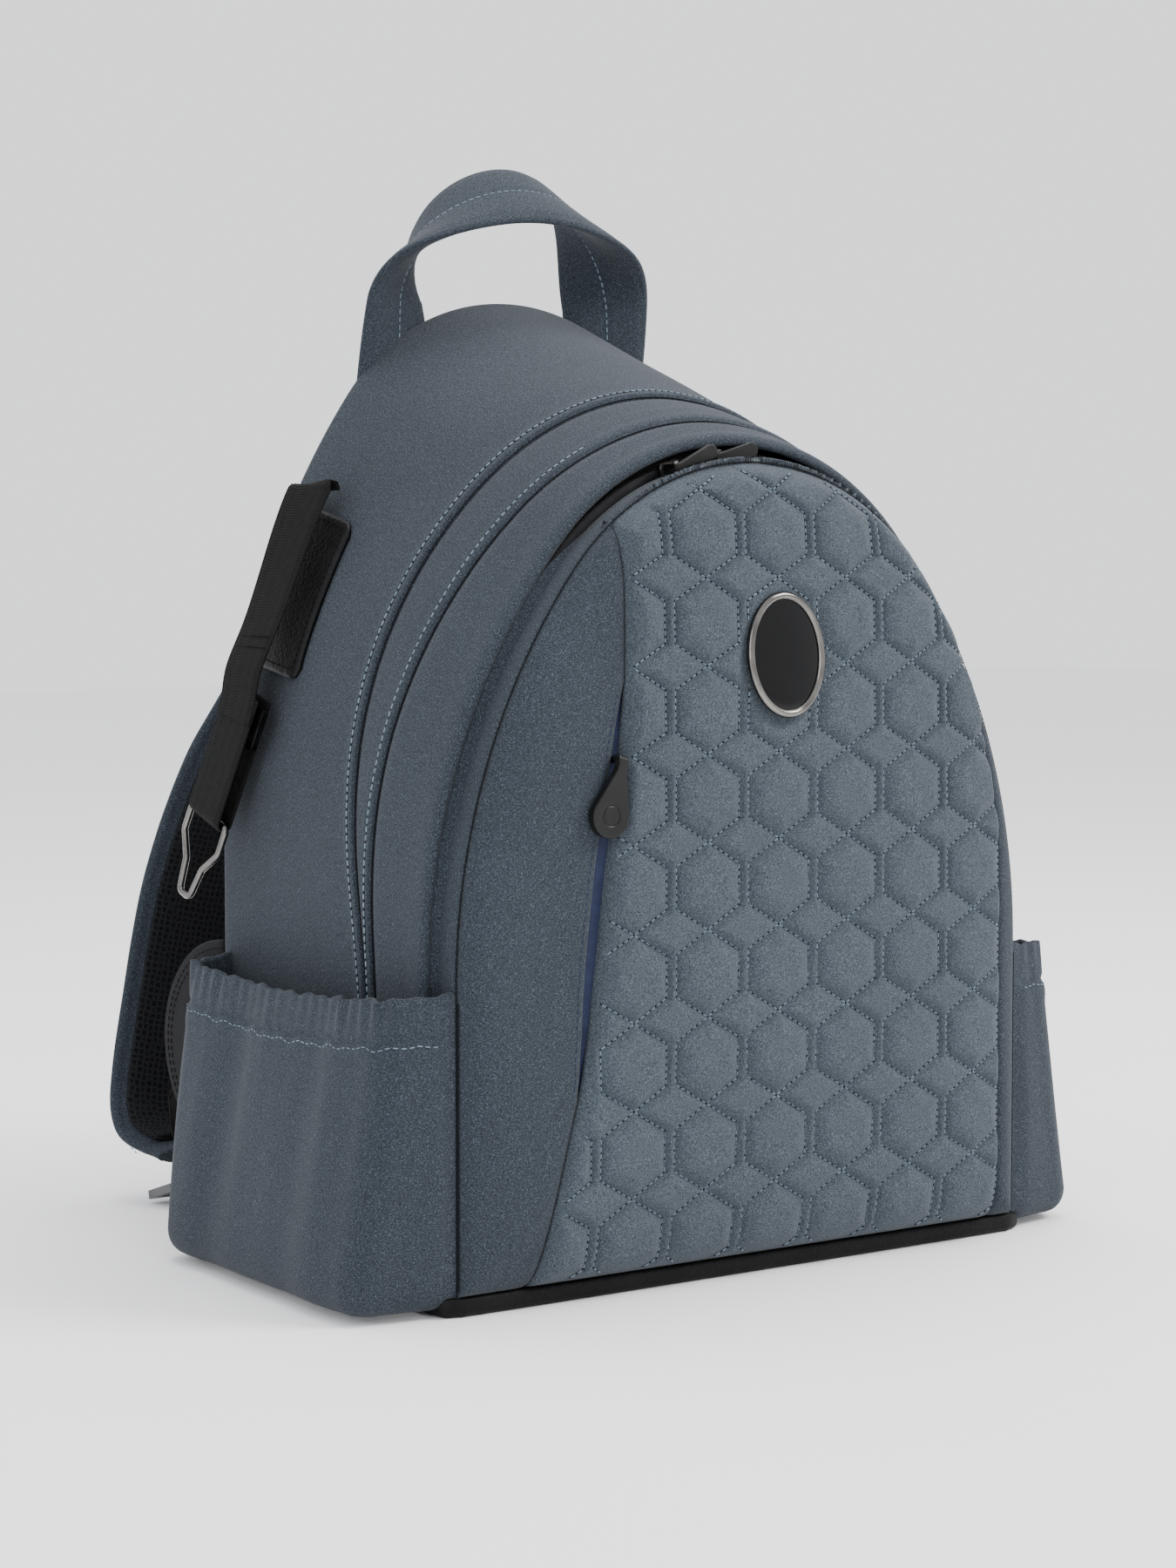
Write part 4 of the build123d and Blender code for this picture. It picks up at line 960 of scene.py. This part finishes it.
def side_pocket(side):
    """A gusseted pocket with a ruched elastic hem, a row of stitching and soft drapes."""
    top = pocket_top()
    rows = []
    heights = np.concatenate([np.linspace(0, 1, 20), np.linspace(1.04, 5.0, 50)]) * 22.0
    for drop in heights[:-1]:
        rows.append(pocket_skin(top - drop * (top - 14) / 118.0, 0.0))
    for turn in np.linspace(0, 1, 8) * pi / 2:
        ring = pocket_skin(np.full(ROUND, 14.0), 9.0 * (1 - cos(turn)))
        ring[:, 2] = 14 - 11 * sin(turn)
        rows.append(ring)
    ring = pocket_skin(np.full(ROUND, 14.0), 10.5)
    ring[:, 2] = 5.4
    rows.append(ring)
    for level, depth in ((8, 4.2), (14, 2.6), (40, 2.4), (75, 2.4), (104, 2.6), (110, 3.2), (120, 3.4)):
        rows.append(pocket_skin(np.full(ROUND, float(level)), depth))
    for lower, depth in ((1.6, 3.3), (0.4, 2.6), (-0.3, 1.7), (-0.3, 0.8)):
        rows.append(pocket_skin(top - lower, depth))
    flip = side == "left"
    points = on_side(side, np.array(rows))
    piece = grid(f"side_pocket_cloth_{side}", points, MATERIAL["shell"], close_rows=True, flip=flip)
    hem = pocket_skin(top - 19.4, -0.15)[6:-6]
    ups = pocket_skin(top - 19.4, -3.0)[6:-6] - hem
    lines = [(on_side(side, hem), on_side(side, ups))]
    hem_thread = thread(f"pocket_hem_stitching_{side}", lines, pitch=3.4, length=2.3, width=0.5, rise=0.4)
    inner = np.array([pocket_skin(top - drop, 1.7) for drop in np.linspace(3, 17, 5)])
    elastic = cloth(f"pocket_elastic_band_{side}", on_side(side, inner), MATERIAL["elastic"], 0.8, flip=flip)
    # painted shadow: a dark line down the seam where the pocket meets the front
    rise = np.linspace(11, 129, 40)
    edge_line = np.stack([np.full(40, -153.0), np.full(40, -89.3), rise], axis=1)
    edge_up = np.tile([-0.6, -0.8, 0.0], (40, 1))
    painted_seam_shadow(f"pocket_seam_painted_shadow_{side}", on_side(side, edge_line), on_side(side, edge_up), "bag")
    attach(piece, "bag", "shell_fabric", f"side_pocket_{side}", f"pocket_hem_{side}")
    attach(hem_thread, "bag", "shell_fabric")
    attach(elastic, "bag", "elastic", f"pocket_elastic_{side}")


for side in ("left", "right"):
    side_pocket(side)

# ---------------------------------------------------------------- grab handle
TILT = radians(39)
steps = np.linspace(0, pi, 61)
bow = np.stack([-60 * np.cos(steps), 100.5 - 18 * np.sin(steps) ** 2, 426.5 + 51 * np.sin(steps)], axis=1)
lift = np.linspace(388, 424, 10)
leg = np.stack([np.full(10, -60.0), np.full(10, 100.5), lift], axis=1)
handle_path = np.concatenate([leg, bow[1:-1], (leg * (-1, 1, 1))[::-1]])
bow_across = np.stack([-np.cos(steps), -np.sin(steps) * cos(TILT), -np.sin(steps) * sin(TILT)], axis=1)
leg_across = np.tile([-1.0, 0, 0], (10, 1))
handle_across = np.concatenate([leg_across, bow_across[1:-1], -leg_across])
handle_path = resample(handle_path, 150)
handle_across = unit(resample(handle_across, 150))
handle_profile = band_profile(42, 6.6, 5.0, 28, grooves=((0.0, 0.16), (-0.86, 0.10), (0.86, 0.10)))
handle = sweep("grab_handle", handle_path, handle_across, handle_profile, MATERIAL["shell"])
attach(handle, HANDLE, "shell_fabric", "handle_band", "handle_anchor")


def ribbon_line(path, across, place, lift):
    """A line that runs along a ribbon at a distance from its middle, lift above its face."""
    along = unit(np.gradient(path, axis=0))
    side_way = unit(across - along * np.sum(across * along, axis=1, keepdims=True))
    up = np.cross(side_way, along)
    return path + side_way * place + up * lift, up * np.sign(lift)


handle_lines = [ribbon_line(handle_path, handle_across, 0.0, lift) for lift in (2.95, -2.95)]
handle_thread = thread("handle_stitching", handle_lines, pitch=3.6, length=2.6, width=0.6)
attach(handle_thread, HANDLE, "shell_fabric")

# ---------------------------------------------------------------- shoulder straps
STRAP = [
    (-46.5, 109.5, 379), (-48, 115.5, 370), (-60, 131, 322), (-80, 160, 258), (-92, 191, 211),
    (-101, 214, 155), (-109, 223, 93), (-114, 224, 57), (-117, 217, 38), (-117, 203, 29), (-117, 187, 24.8),
]
LOWER = [(-117, 183, 10.5), (-117.6, 176, 13.5), (-124, 171, 28), (-136, 165, 47), (-146, 158.5, 66)]
LOWER_ACROSS = [(1, 0, 0), (1, 0, 0.02), (0.9, 0.1, 0.4), (0.6, 0.2, 0.8), (0.3, 0.4, 0.9)]


def strap(side):
    """A padded strap with a mesh underside, bound edges and two rows of stitching."""
    m = 1.0 if side == "left" else -1.0
    path = smooth_path(STRAP, 170) * (m, 1, 1)
    across = np.tile([1.0, 0, 0], (170, 1))
    t = np.linspace(0, 1, 170)
    width = 1 - 0.26 * smoothstep((t - 0.93) / 0.07) - 0.05 * smoothstep((0.03 - t) / 0.03)
    swell = 1 - 0.35 * smoothstep((t - 0.955) / 0.045) + 0.035 * np.sin(t * 71) + 0.03 * np.sin(t * 113 + 1)
    section = band_profile(61, 10.0, 3.6, 30, grooves=((-0.84, 0.17), (0.84, 0.17)))
    profile = section[None] * np.stack([width, swell], axis=1)[:, None]
    pad = sweep(f"strap_pad_cloth_{side}", path, across, profile, MATERIAL["shell"])
    under = band_profile(49, 3.6, 6.0, 22)[None] * np.stack([width, np.ones(170)], axis=1)[:, None]
    under = under - (0, 5.9)
    under_mesh = sweep(f"strap_mesh_cloth_{side}", path[3:-4], across[3:-4], under[3:-4], MATERIAL["mesh"])
    lines = [ribbon_line(path[4:-6], across[4:-6], place, 3.75) for place in (-25.6, 25.6)]
    pad_thread = thread(f"strap_stitching_{side}", lines, pitch=3.5, length=2.5)
    lower_path = smooth_path(LOWER, 60) * (m, 1, 1)
    lower_across = unit(smooth_path(LOWER_ACROSS, 60)) * (1, m, m)
    lower = sweep(f"strap_webbing_cloth_{side}", lower_path, lower_across,
                  band_profile(25, 1.8, 10, 20, grooves=((-0.8, 0.2), (0.8, 0.2))), MATERIAL["webbing"])
    attach(pad, f"strap_{side}", "shell_fabric", f"strap_pad_{side}")
    attach(under_mesh, f"strap_{side}", "air_mesh", f"strap_mesh_{side}")
    attach(pad_thread, f"strap_{side}", "shell_fabric")
    attach(lower, f"strap_{side}", "webbing", f"strap_webbing_{side}")


for side in ("left", "right"):
    strap(side)


def wing(side):
    """The D-shaped tab that the lower webbing is sewn to, with a double row of stitching."""
    m = 1.0 if side == "left" else -1.0
    a = np.linspace(-pi / 2, pi / 2, 41)
    rings = []
    layers = ((-152.4, 1.2), (-152.3, 0.5), (-151.9, 0.1), (-150.1, 0.1), (-149.7, 0.6), (-149.6, 1.3))
    for x, inset in layers:
        curve = np.stack([101.5 + (55.6 - inset) * np.cos(a), 88 + (49.6 - inset) * np.sin(a)], axis=1)
        stem = np.stack([np.full(12, 101.2), np.linspace(137, 39, 14)[1:-1]], axis=1)
        loop = np.concatenate([curve, stem])
        rings.append(np.stack([np.full(len(loop), x * m), loop[:, 0], loop[:, 1]], axis=1))
    piece = slab(f"strap_wing_cloth_{side}", rings, MATERIAL["back"])
    lines = []
    for inset in (4.0, 7.0):
        for x, face in ((-152.6, -1), (-149.4, 1)):
            deep, high = 101.5 + (55.6 - inset) * np.cos(a), 88 + (49.6 - inset) * np.sin(a)
            place = np.stack([np.full(41, x * m), deep, high], axis=1)
            lines.append((place, np.tile([face * m, 0.0, 0.0], (41, 1))))
    wing_thread = thread(f"wing_stitching_{side}", lines, pitch=3.4, length=2.4, width=0.5)
    wing_thread.data.materials[0] = MATERIAL["elastic"]
    attach(piece, "bag", "back_fabric", f"strap_wing_{side}")
    attach(wing_thread, "bag", "back_fabric")


for side in ("left", "right"):
    wing(side)

# ---------------------------------------------------------------- pram straps
GLIDE = np.array([-159.0, 70.0, 243.0])
LEAN = np.array([-0.1795, 0.2991, -0.9373])
BAR = np.array([0.0563, 0.9543, 0.2938])
OFF = np.array([-0.982, 0.0, 0.188])


def patch_surface(v, w, out):
    """A point of the patch: v runs forward to back, w from its lower to its upper edge."""
    share = np.interp(300 + 36 * w, LINES["back"][: COUNT // 2, 1], SHARES[: COUNT // 2])
    return shell_at(share, 62.5 + 17.5 * v, out)


def clip_strap(side):
    """A leather-look patch with the folded webbing that carries the pram hook."""
    m = 1.0 if side == "left" else -1.0
    mirror = np.array([m, 1.0, 1.0])
    v = np.linspace(-1, 1, 25)[:, None]
    u = np.linspace(-1, 1, 41)[None]
    cut = np.clip((np.abs(v) * 17.5 - 11.5) / 6.0, 0, 1)
    reach = 1 - (6.0 / 36) * (1 - np.sqrt(1 - cut**2))
    w = u * reach
    rim = np.maximum(np.abs(v), np.abs(u)) ** 14
    points = patch_surface(v + 0 * u, w, 2.6 - 0.8 * rim) * mirror
    patch = cloth(f"clip_patch_cloth_{side}", points, MATERIAL["leather"], 2.0, flip=side == "left")
    t = np.linspace(0, 2 * pi, 161)
    square = lambda f: np.sign(f) * np.minimum(np.abs(f) * 1.28, 1)
    round_u, round_v = square(np.sin(t)) * 0.90, square(np.cos(t)) * 0.80
    border = patch_surface(round_v, round_u, 2.75)
    ups = patch_surface(round_v, round_u, 5.0) - border
    patch_lines = [(border * mirror, ups * mirror)]
    patch_thread = thread(f"clip_patch_stitching_{side}", patch_lines, pitch=3.0, length=2.1, width=0.5)
    patch_thread.data.materials[0] = MATERIAL["elastic"]
    drop = smooth_path([(-121.6, 70, 338.5), (-122.6, 70, 341.6), (-125.2, 70, 339.5), (-133.4, 70, 322),
                        (-148, 70, 285), (-158.7, 70, 262), (-162.1, 70, 247), (-163.6, 71.5, 239)], 90)
    run = np.linspace(0, 1, 90)[:, None]
    across = np.array([0.0, 1.0, 0.0]) + run**6 * (BAR - (0, 1, 0))
    across = across + (1 - run) ** 2 * np.array([-0.24, 0, -0.1])
    grooves = ((-0.86, 0.3), (-0.5, 0.12), (0, 0.12), (0.5, 0.12), (0.86, 0.3))
    profile = band_profile(30, 1.9, 12, 24, grooves=grooves)
    fall = sweep(f"clip_webbing_drop_{side}", drop * mirror, across * mirror, profile, MATERIAL["webbing"])
    legs = [GLIDE + LEAN * s + OFF * 3.1 for s in np.linspace(-8, 49.5, 16)]
    legs += [GLIDE + LEAN * (49.5 + 3.1 * sin(a)) + OFF * 3.1 * cos(a) for a in np.linspace(0, pi, 12)[1:-1]]
    legs += [GLIDE + LEAN * s - OFF * 3.1 for s in np.linspace(49.5, -8, 16)]
    path = resample(legs, 90)
    loop = sweep(f"clip_webbing_loop_{side}", path * mirror, np.tile(BAR * mirror, (90, 1)), profile,
                 MATERIAL["webbing"])
    box = []
    for k in (60, 64):
        line = drop[k] + np.linspace(-12.5, 12.5, 10)[:, None] * np.array([0, 1.0, 0])
        face = np.array([-0.9, 0, 0.44]) * mirror
        box.append(((line + np.array([-0.95, 0, 0.45])) * mirror, np.tile(face, (10, 1))))
    bar_tack = thread(f"clip_webbing_tack_{side}", box, pitch=1.7, length=1.4, width=0.8)
    bar_tack.data.materials[0] = MATERIAL["elastic"]
    attach(patch, "bag", "leather_look", f"clip_patch_{side}")
    attach(patch_thread, "bag", "leather_look")
    attach(fall, f"clip_strap_{side}", "webbing", f"clip_webbing_{side}")
    attach(loop, f"clip_strap_{side}", "webbing")
    attach(bar_tack, f"clip_strap_{side}", "webbing")


for side in ("left", "right"):
    clip_strap(side)


# ---------------------------------------------------------------- base, back panel and mesh pads
def base_ring(z, inset):
    """Outline of the base at a height, inset from its widest line."""
    corner = [(-153, -89), (-160.5, -78), (-158, 0), (-154.5, 92), (-148, 102.6), (0, 103)]
    left = smooth_path([(0, -90.5), (-100, -90.5), (-146, -90)] + corner[:5], 90)
    half = np.concatenate([left, [(-60, 103)]])
    loop = np.concatenate([half, (half * (-1, 1))[::-1][:-1]])
    along = unit(np.gradient(loop, axis=0))
    normal = np.stack([along[:, 1], -along[:, 0]], axis=1)
    pushed = loop + normal * inset
    return np.stack([pushed[:, 0], pushed[:, 1], np.full(len(loop), z)], axis=1)


inset_sign = 1.0 if base_ring(0, 1.0)[0, 1] > base_ring(0, 0.0)[0, 1] else -1.0
levels = (
    (0.0, 4.2), (0.25, 2.4), (0.9, 1.1), (2.0, 0.3), (3.6, 0.0),
    (6.4, 0.0), (7.8, 0.3), (8.4, 1.4), (8.4, 4.0),
)
sole = slab("base_cloth", [base_ring(z, inset * inset_sign) for z, inset in levels], MATERIAL["base"])
attach(sole, "bag", "leather_look", "base_cover")


INNER = arch_line((149.5, 178.0, 423.5, 103.5), 281)


def back_half(z, inset=0.0):
    half = INNER[140:]
    return np.maximum(np.interp(z, half[::-1, 1], half[::-1, 0]) - inset, 0.6)


def arch_gap(x, z):
    flat = np.stack([np.ravel(x), np.ravel(z)], axis=1)
    gap = np.sqrt(((flat[:, None] - INNER[None]) ** 2).sum(axis=2)).min(axis=1)
    return np.minimum(gap, flat[:, 1] - FLOOR + 1).reshape(np.shape(x))


line_z = INNER[:141, 1]
back_z = line_z[:, None] + 0.0
back_x = back_half(back_z, 0.0) * np.linspace(-1, 1, 100)[None]
back_z = np.broadcast_to(back_z, back_x.shape)
back_d = arch_gap(back_x, back_z)
back_y = 96.0 + 9.6 * (1 - np.exp(-np.maximum(back_d, 0) / 3.6))
back_panel = cloth("back_panel_cloth", np.stack([back_x, back_y, back_z], axis=2), MATERIAL["back"], 2.2)
attach(back_panel, "bag", "back_fabric", "back_panel")


def rounded_gap(x, z, half_x, half_z, corner):
    """Distance inside a rounded rectangle from its outline."""
    qx = np.abs(x) - half_x + corner
    qz = np.abs(z) - half_z + corner
    return -(np.hypot(np.maximum(qx, 0), np.maximum(qz, 0)) + np.minimum(np.maximum(qx, qz), 0) - corner)


def inflate(piece, held, cap, pressure=4.0):
    """Cloth under pressure, with its border held, then settled and made smooth."""
    start = np.array([v.co for v in piece.data.vertices])
    group = piece.vertex_groups.new(name="held")
    group.add(np.flatnonzero(held).tolist(), 1.0, "REPLACE")
    modifier = piece.modifiers.new("cloth", "CLOTH")
    settings = modifier.settings
    settings.quality = 6
    settings.mass = 0.3
    settings.tension_stiffness = settings.compression_stiffness = 18
    settings.bending_stiffness = 0.6
    settings.use_pressure = True
    settings.uniform_pressure_force = pressure
    settings.vertex_group_mass = "held"
    settings.effector_weights.gravity = 0.0
    modifier.point_cache.frame_start, modifier.point_cache.frame_end = 1, 20
    scene = bpy.context.scene
    for number in range(1, 21):
        scene.frame_set(number)
    evaluated = piece.evaluated_get(bpy.context.evaluated_depsgraph_get())
    moved = np.array([v.co for v in evaluated.data.vertices])
    piece.modifiers.remove(modifier)
    shift = moved - start
    size = np.linalg.norm(shift, axis=1, keepdims=True)
    shift = shift * np.minimum(1, cap * MM / np.maximum(size, 1e-9))
    piece.data.vertices.foreach_set("co", (start + shift).astype(np.float32).ravel())
    piece.data.update()
    scene.frame_set(1)


def back_pad(name, middle, half_z):
    """A moulded air-mesh block: rounded border and three soft ribs across it."""
    half_x, corner = 94.0, 24.0
    x = np.linspace(-half_x, half_x, 66)[None]
    z = np.linspace(-half_z, half_z, 50)[:, None]
    reach = np.clip((np.abs(z) - half_z + corner) / corner, 0, 1)
    width = (half_x - corner + corner * np.sqrt(1 - reach**2)) / half_x
    x = x * width
    z = z + 0 * x
    gap = rounded_gap(x, z, half_x, half_z, corner)
    from_rib = (z + half_z / 3) % (half_z * 2 / 3) - half_z / 3
    ribs = 1 - 0.42 * np.exp(-((from_rib / 3.2) ** 2)) * smoothstep(gap / 14)
    y = 105.2 + 5.6 * (1 - np.exp(-np.maximum(gap, 0) / 4.5)) * ribs
    pad = cloth(name, np.stack([x, y, z + middle], axis=2), MATERIAL["mesh"], 1.6)
    held = np.array([v.co.y for v in pad.data.vertices]) < 0.1062
    inflate(pad, held, 1.6)
    return pad


for name, middle, half_z in (("upper", 282.0, 64.5), ("lower", 120.0, 74.5)):
    pad = back_pad(f"back_mesh_cloth_{name}", middle, half_z)
    attach(pad, "bag", "air_mesh", f"back_mesh_pad_{name}")


# ---------------------------------------------------------------- lining and inner pouch
wall_rows = []
for y in np.linspace(-62.5, 93.6, 40):
    ripple = 0.7 * np.sin(SHARES * 61 + y / 13) * np.sin(y / 17 + SHARES * 23)
    wall_rows.append(shell_at(SHARES[3:-3], y, -5.4 + ripple[3:-3]))
wall = cloth("main_lining_cloth", np.array(wall_rows), MATERIAL["lining"], 0.9)
attach(wall, "bag", "lining_fabric", "main_lining")

rear_z = line_z[2:-3, None] + 0.0
rear_x = back_half(rear_z, 2.0) * np.linspace(-1, 1, 70)[None]
rear_z = np.broadcast_to(rear_z, rear_x.shape)
rear_y = 93.8 - 0.6 * np.abs(np.sin(rear_x / 23) * np.sin(rear_z / 31))
floor_x = 152.0 * np.linspace(-1, 1, 60)[None] + 0 * np.linspace(0, 1, 40)[:, None]
floor_y = np.linspace(-62.5, 93.5, 40)[:, None] + 0 * floor_x
floor_z = 9.6 + 0.3 * np.sin(floor_x / 19) * np.sin(floor_y / 23)
rear_points = np.stack([rear_x, rear_y, rear_z], axis=2)
floor_points = np.stack([floor_x, floor_y, floor_z], axis=2)
for name, points in (("lining_rear", rear_points), ("lining_floor", floor_points)):
    attach(cloth(name, points, MATERIAL["lining"], 0.8, flip=True), "bag", "lining_fabric")

pouch_plan = [(-117.5, 93.0), (-113.5, 81.5), (-108, 80.2), (108, 80.2), (113.5, 81.5), (117.5, 93.0)]
plan = resample(pouch_plan, 110)
pouch_rows = []
for z in np.concatenate([[20.4, 20.4, 21.5], np.linspace(24, 208.5, 44)]):
    row = np.stack([plan[:, 0], plan[:, 1], np.full(110, z)], axis=1)
    loose = smoothstep((z - 24) / 60)
    free = smoothstep(np.abs(np.abs(plan[:, 0]) - 117) / 14)
    row[:, 1] += 0.9 * np.sin(plan[:, 0] / 14 + z / 37) * loose * free
    pouch_rows.append(row)
pouch_rows[0][:, 1] = 93.0
pouch = cloth("inner_pouch_cloth", np.array(pouch_rows), MATERIAL["lining"], 1.1, flip=True)
attach(pouch, "bag", "lining_fabric", "inner_pocket")


# ---------------------------------------------------------------- moulded pulls and hardware
def soft_copy(node, voxel, rounds, material, body, slot, wide=1.0):
    """A moulded piece of the same shape as its solid, with every edge rounded, made narrower where asked."""
    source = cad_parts[node]
    piece = bpy.data.objects.new(f"{node}_moulded", source.data.copy())
    bpy.context.scene.collection.objects.link(piece)
    remesh = piece.modifiers.new("even", "REMESH")
    remesh.mode = "VOXEL"
    remesh.voxel_size = voxel * MM
    smooth = piece.modifiers.new("round", "SMOOTH")
    smooth.iterations = rounds
    smooth.factor = 0.5
    shape = bpy.data.meshes.new_from_object(piece.evaluated_get(bpy.context.evaluated_depsgraph_get()))
    piece.modifiers.clear()
    piece.data = shape
    points = np.array([v.co for v in shape.vertices])
    middle = (points[:, 0].min() + points[:, 0].max()) / 2
    points[:, 0] = middle + (points[:, 0] - middle) * wide
    shape.vertices.foreach_set("co", points.astype(np.float32).ravel())
    shape.polygons.foreach_set("use_smooth", [True] * len(shape.polygons))
    shape.materials.clear()
    shape.materials.append(material)
    attach(piece, body, slot, node)


soft_copy("pocket_pull", 0.28, 5, MATERIAL["rubber"], "pocket_pull", "pull_rubber")
soft_copy("pocket_slider", 0.22, 2, MATERIAL["metal"], "pocket_slider", "dark_metal", wide=0.62)
for side in ("left", "right"):
    soft_copy(f"zip_pull_{side}", 0.25, 5, MATERIAL["rubber"], f"zip_pull_{side}", "pull_rubber")


# The badge: a rounded oval rim round a domed gloss inlay
tilt_z = np.array([0, -0.99665, 0.08173])
tilt_up = np.array([0, 0.08173, 0.99665])
heart = np.array([BADGE[0], -102.4, BADGE[1]])


def oval(rx, rz, proud, count=96):
    a = np.linspace(0, 2 * pi, count, endpoint=False)[:, None]
    return heart + np.array([1.0, 0, 0]) * rx * np.cos(a) + tilt_up * rz * np.sin(a) + tilt_z * proud


rim_turns = np.linspace(0, 2 * pi, 14, endpoint=False)
rim_rings = [oval(19.2 + 1.75 * cos(a), 25.2 + 1.75 * cos(a), 2.7 + 1.8 * sin(a)) for a in rim_turns]
rim = grid("badge_rim_plated", np.array(rim_rings), MATERIAL["rim"], True, True, flip=True)
dome = [oval(18.6, 24.6, 0.6), oval(18.6, 24.6, 2.6), oval(18.2, 24.2, 3.0)]
dome += [oval(18.0 * k, 24.0 * k, 3.0 + 1.4 * (1 - k**2) ** 0.8) for k in np.linspace(0.97, 0.04, 16)]
inlay = slab("badge_inlay_enamel", dome, MATERIAL["enamel"])
attach(rim, "front_flap", "dark_metal", "badge_rim")
attach(inlay, "front_flap", "badge_enamel", "badge_inlay")

HARDWARE = {
    "zip_slider": "metal",
    "tri_glide": "black_metal", "pram_hook": "metal", "ladder_lock": "plastic", "base_board": "board",
}
for name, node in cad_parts.items():
    for start, key in HARDWARE.items():
        if name.startswith(start):
            node.data.materials.clear()
            node.data.materials.append(MATERIAL[key])

# ---------------------------------------------------------------- stage, light and camera
floor_mesh = bpy.data.meshes.new("studio_floor")
floor_mesh.from_pydata([(-6, -6, 0), (6, -6, 0), (6, 6, 0), (-6, 6, 0)], [], [(0, 1, 2, 3)])
floor = bpy.data.objects.new("studio_floor", floor_mesh)
bpy.context.scene.collection.objects.link(floor)
f = Nodes("studio_paper")
paper = f.ramp(f.noise("Object", 3.0, 2.0), [(0.3, (0.93, 0.93, 0.935)), (0.7, (0.95, 0.95, 0.955))])
floor.data.materials.append(f.finish(paper, None, Roughness=0.9))

world = bpy.data.worlds.new("studio")
bpy.context.scene.world = world
world.use_nodes = True
world.node_tree.nodes["Background"].inputs["Color"].default_value = (0.96, 0.97, 1.0, 1)
world.node_tree.nodes["Background"].inputs["Strength"].default_value = 1.55


def lamp(name, place, target, size, power, colour=(1, 1, 1)):
    light = bpy.data.lights.new(name, "AREA")
    light.shape = "RECTANGLE"
    light.size, light.size_y = size
    light.energy = power
    light.color = colour
    holder = bpy.data.objects.new(name, light)
    holder.location = place
    holder.rotation_euler = (Vector(target) - Vector(place)).to_track_quat("-Z", "Y").to_euler()
    bpy.context.scene.collection.objects.link(holder)


lamp("key", (1.25, -1.15, 1.75), (0, 0, 0.2), (0.9, 0.9), 52, (1.0, 0.985, 0.96))
lamp("fill", (-1.9, -0.9, 0.9), (0, 0, 0.2), (1.0, 1.4), 12, (0.95, 0.98, 1.0))
lamp("top", (0.1, 0.3, 2.2), (0, 0, 0.3), (1.6, 1.0), 26)

TARGET = Vector((-0.023, 0.0, 0.2085))
azimuth, elevation = radians(-36.0), radians(3.8)
camera = bpy.data.objects.new("camera", bpy.data.cameras.new("camera"))
camera.data.lens = 77.0
camera.data.sensor_width = 36.0
camera.location = TARGET + 1.5 * Vector(
    (sin(azimuth) * cos(elevation), -cos(azimuth) * cos(elevation), sin(elevation))
)
camera.rotation_euler = (TARGET - camera.location).to_track_quat("-Z", "Y").to_euler()
bpy.context.scene.collection.objects.link(camera)
bpy.context.scene.camera = camera
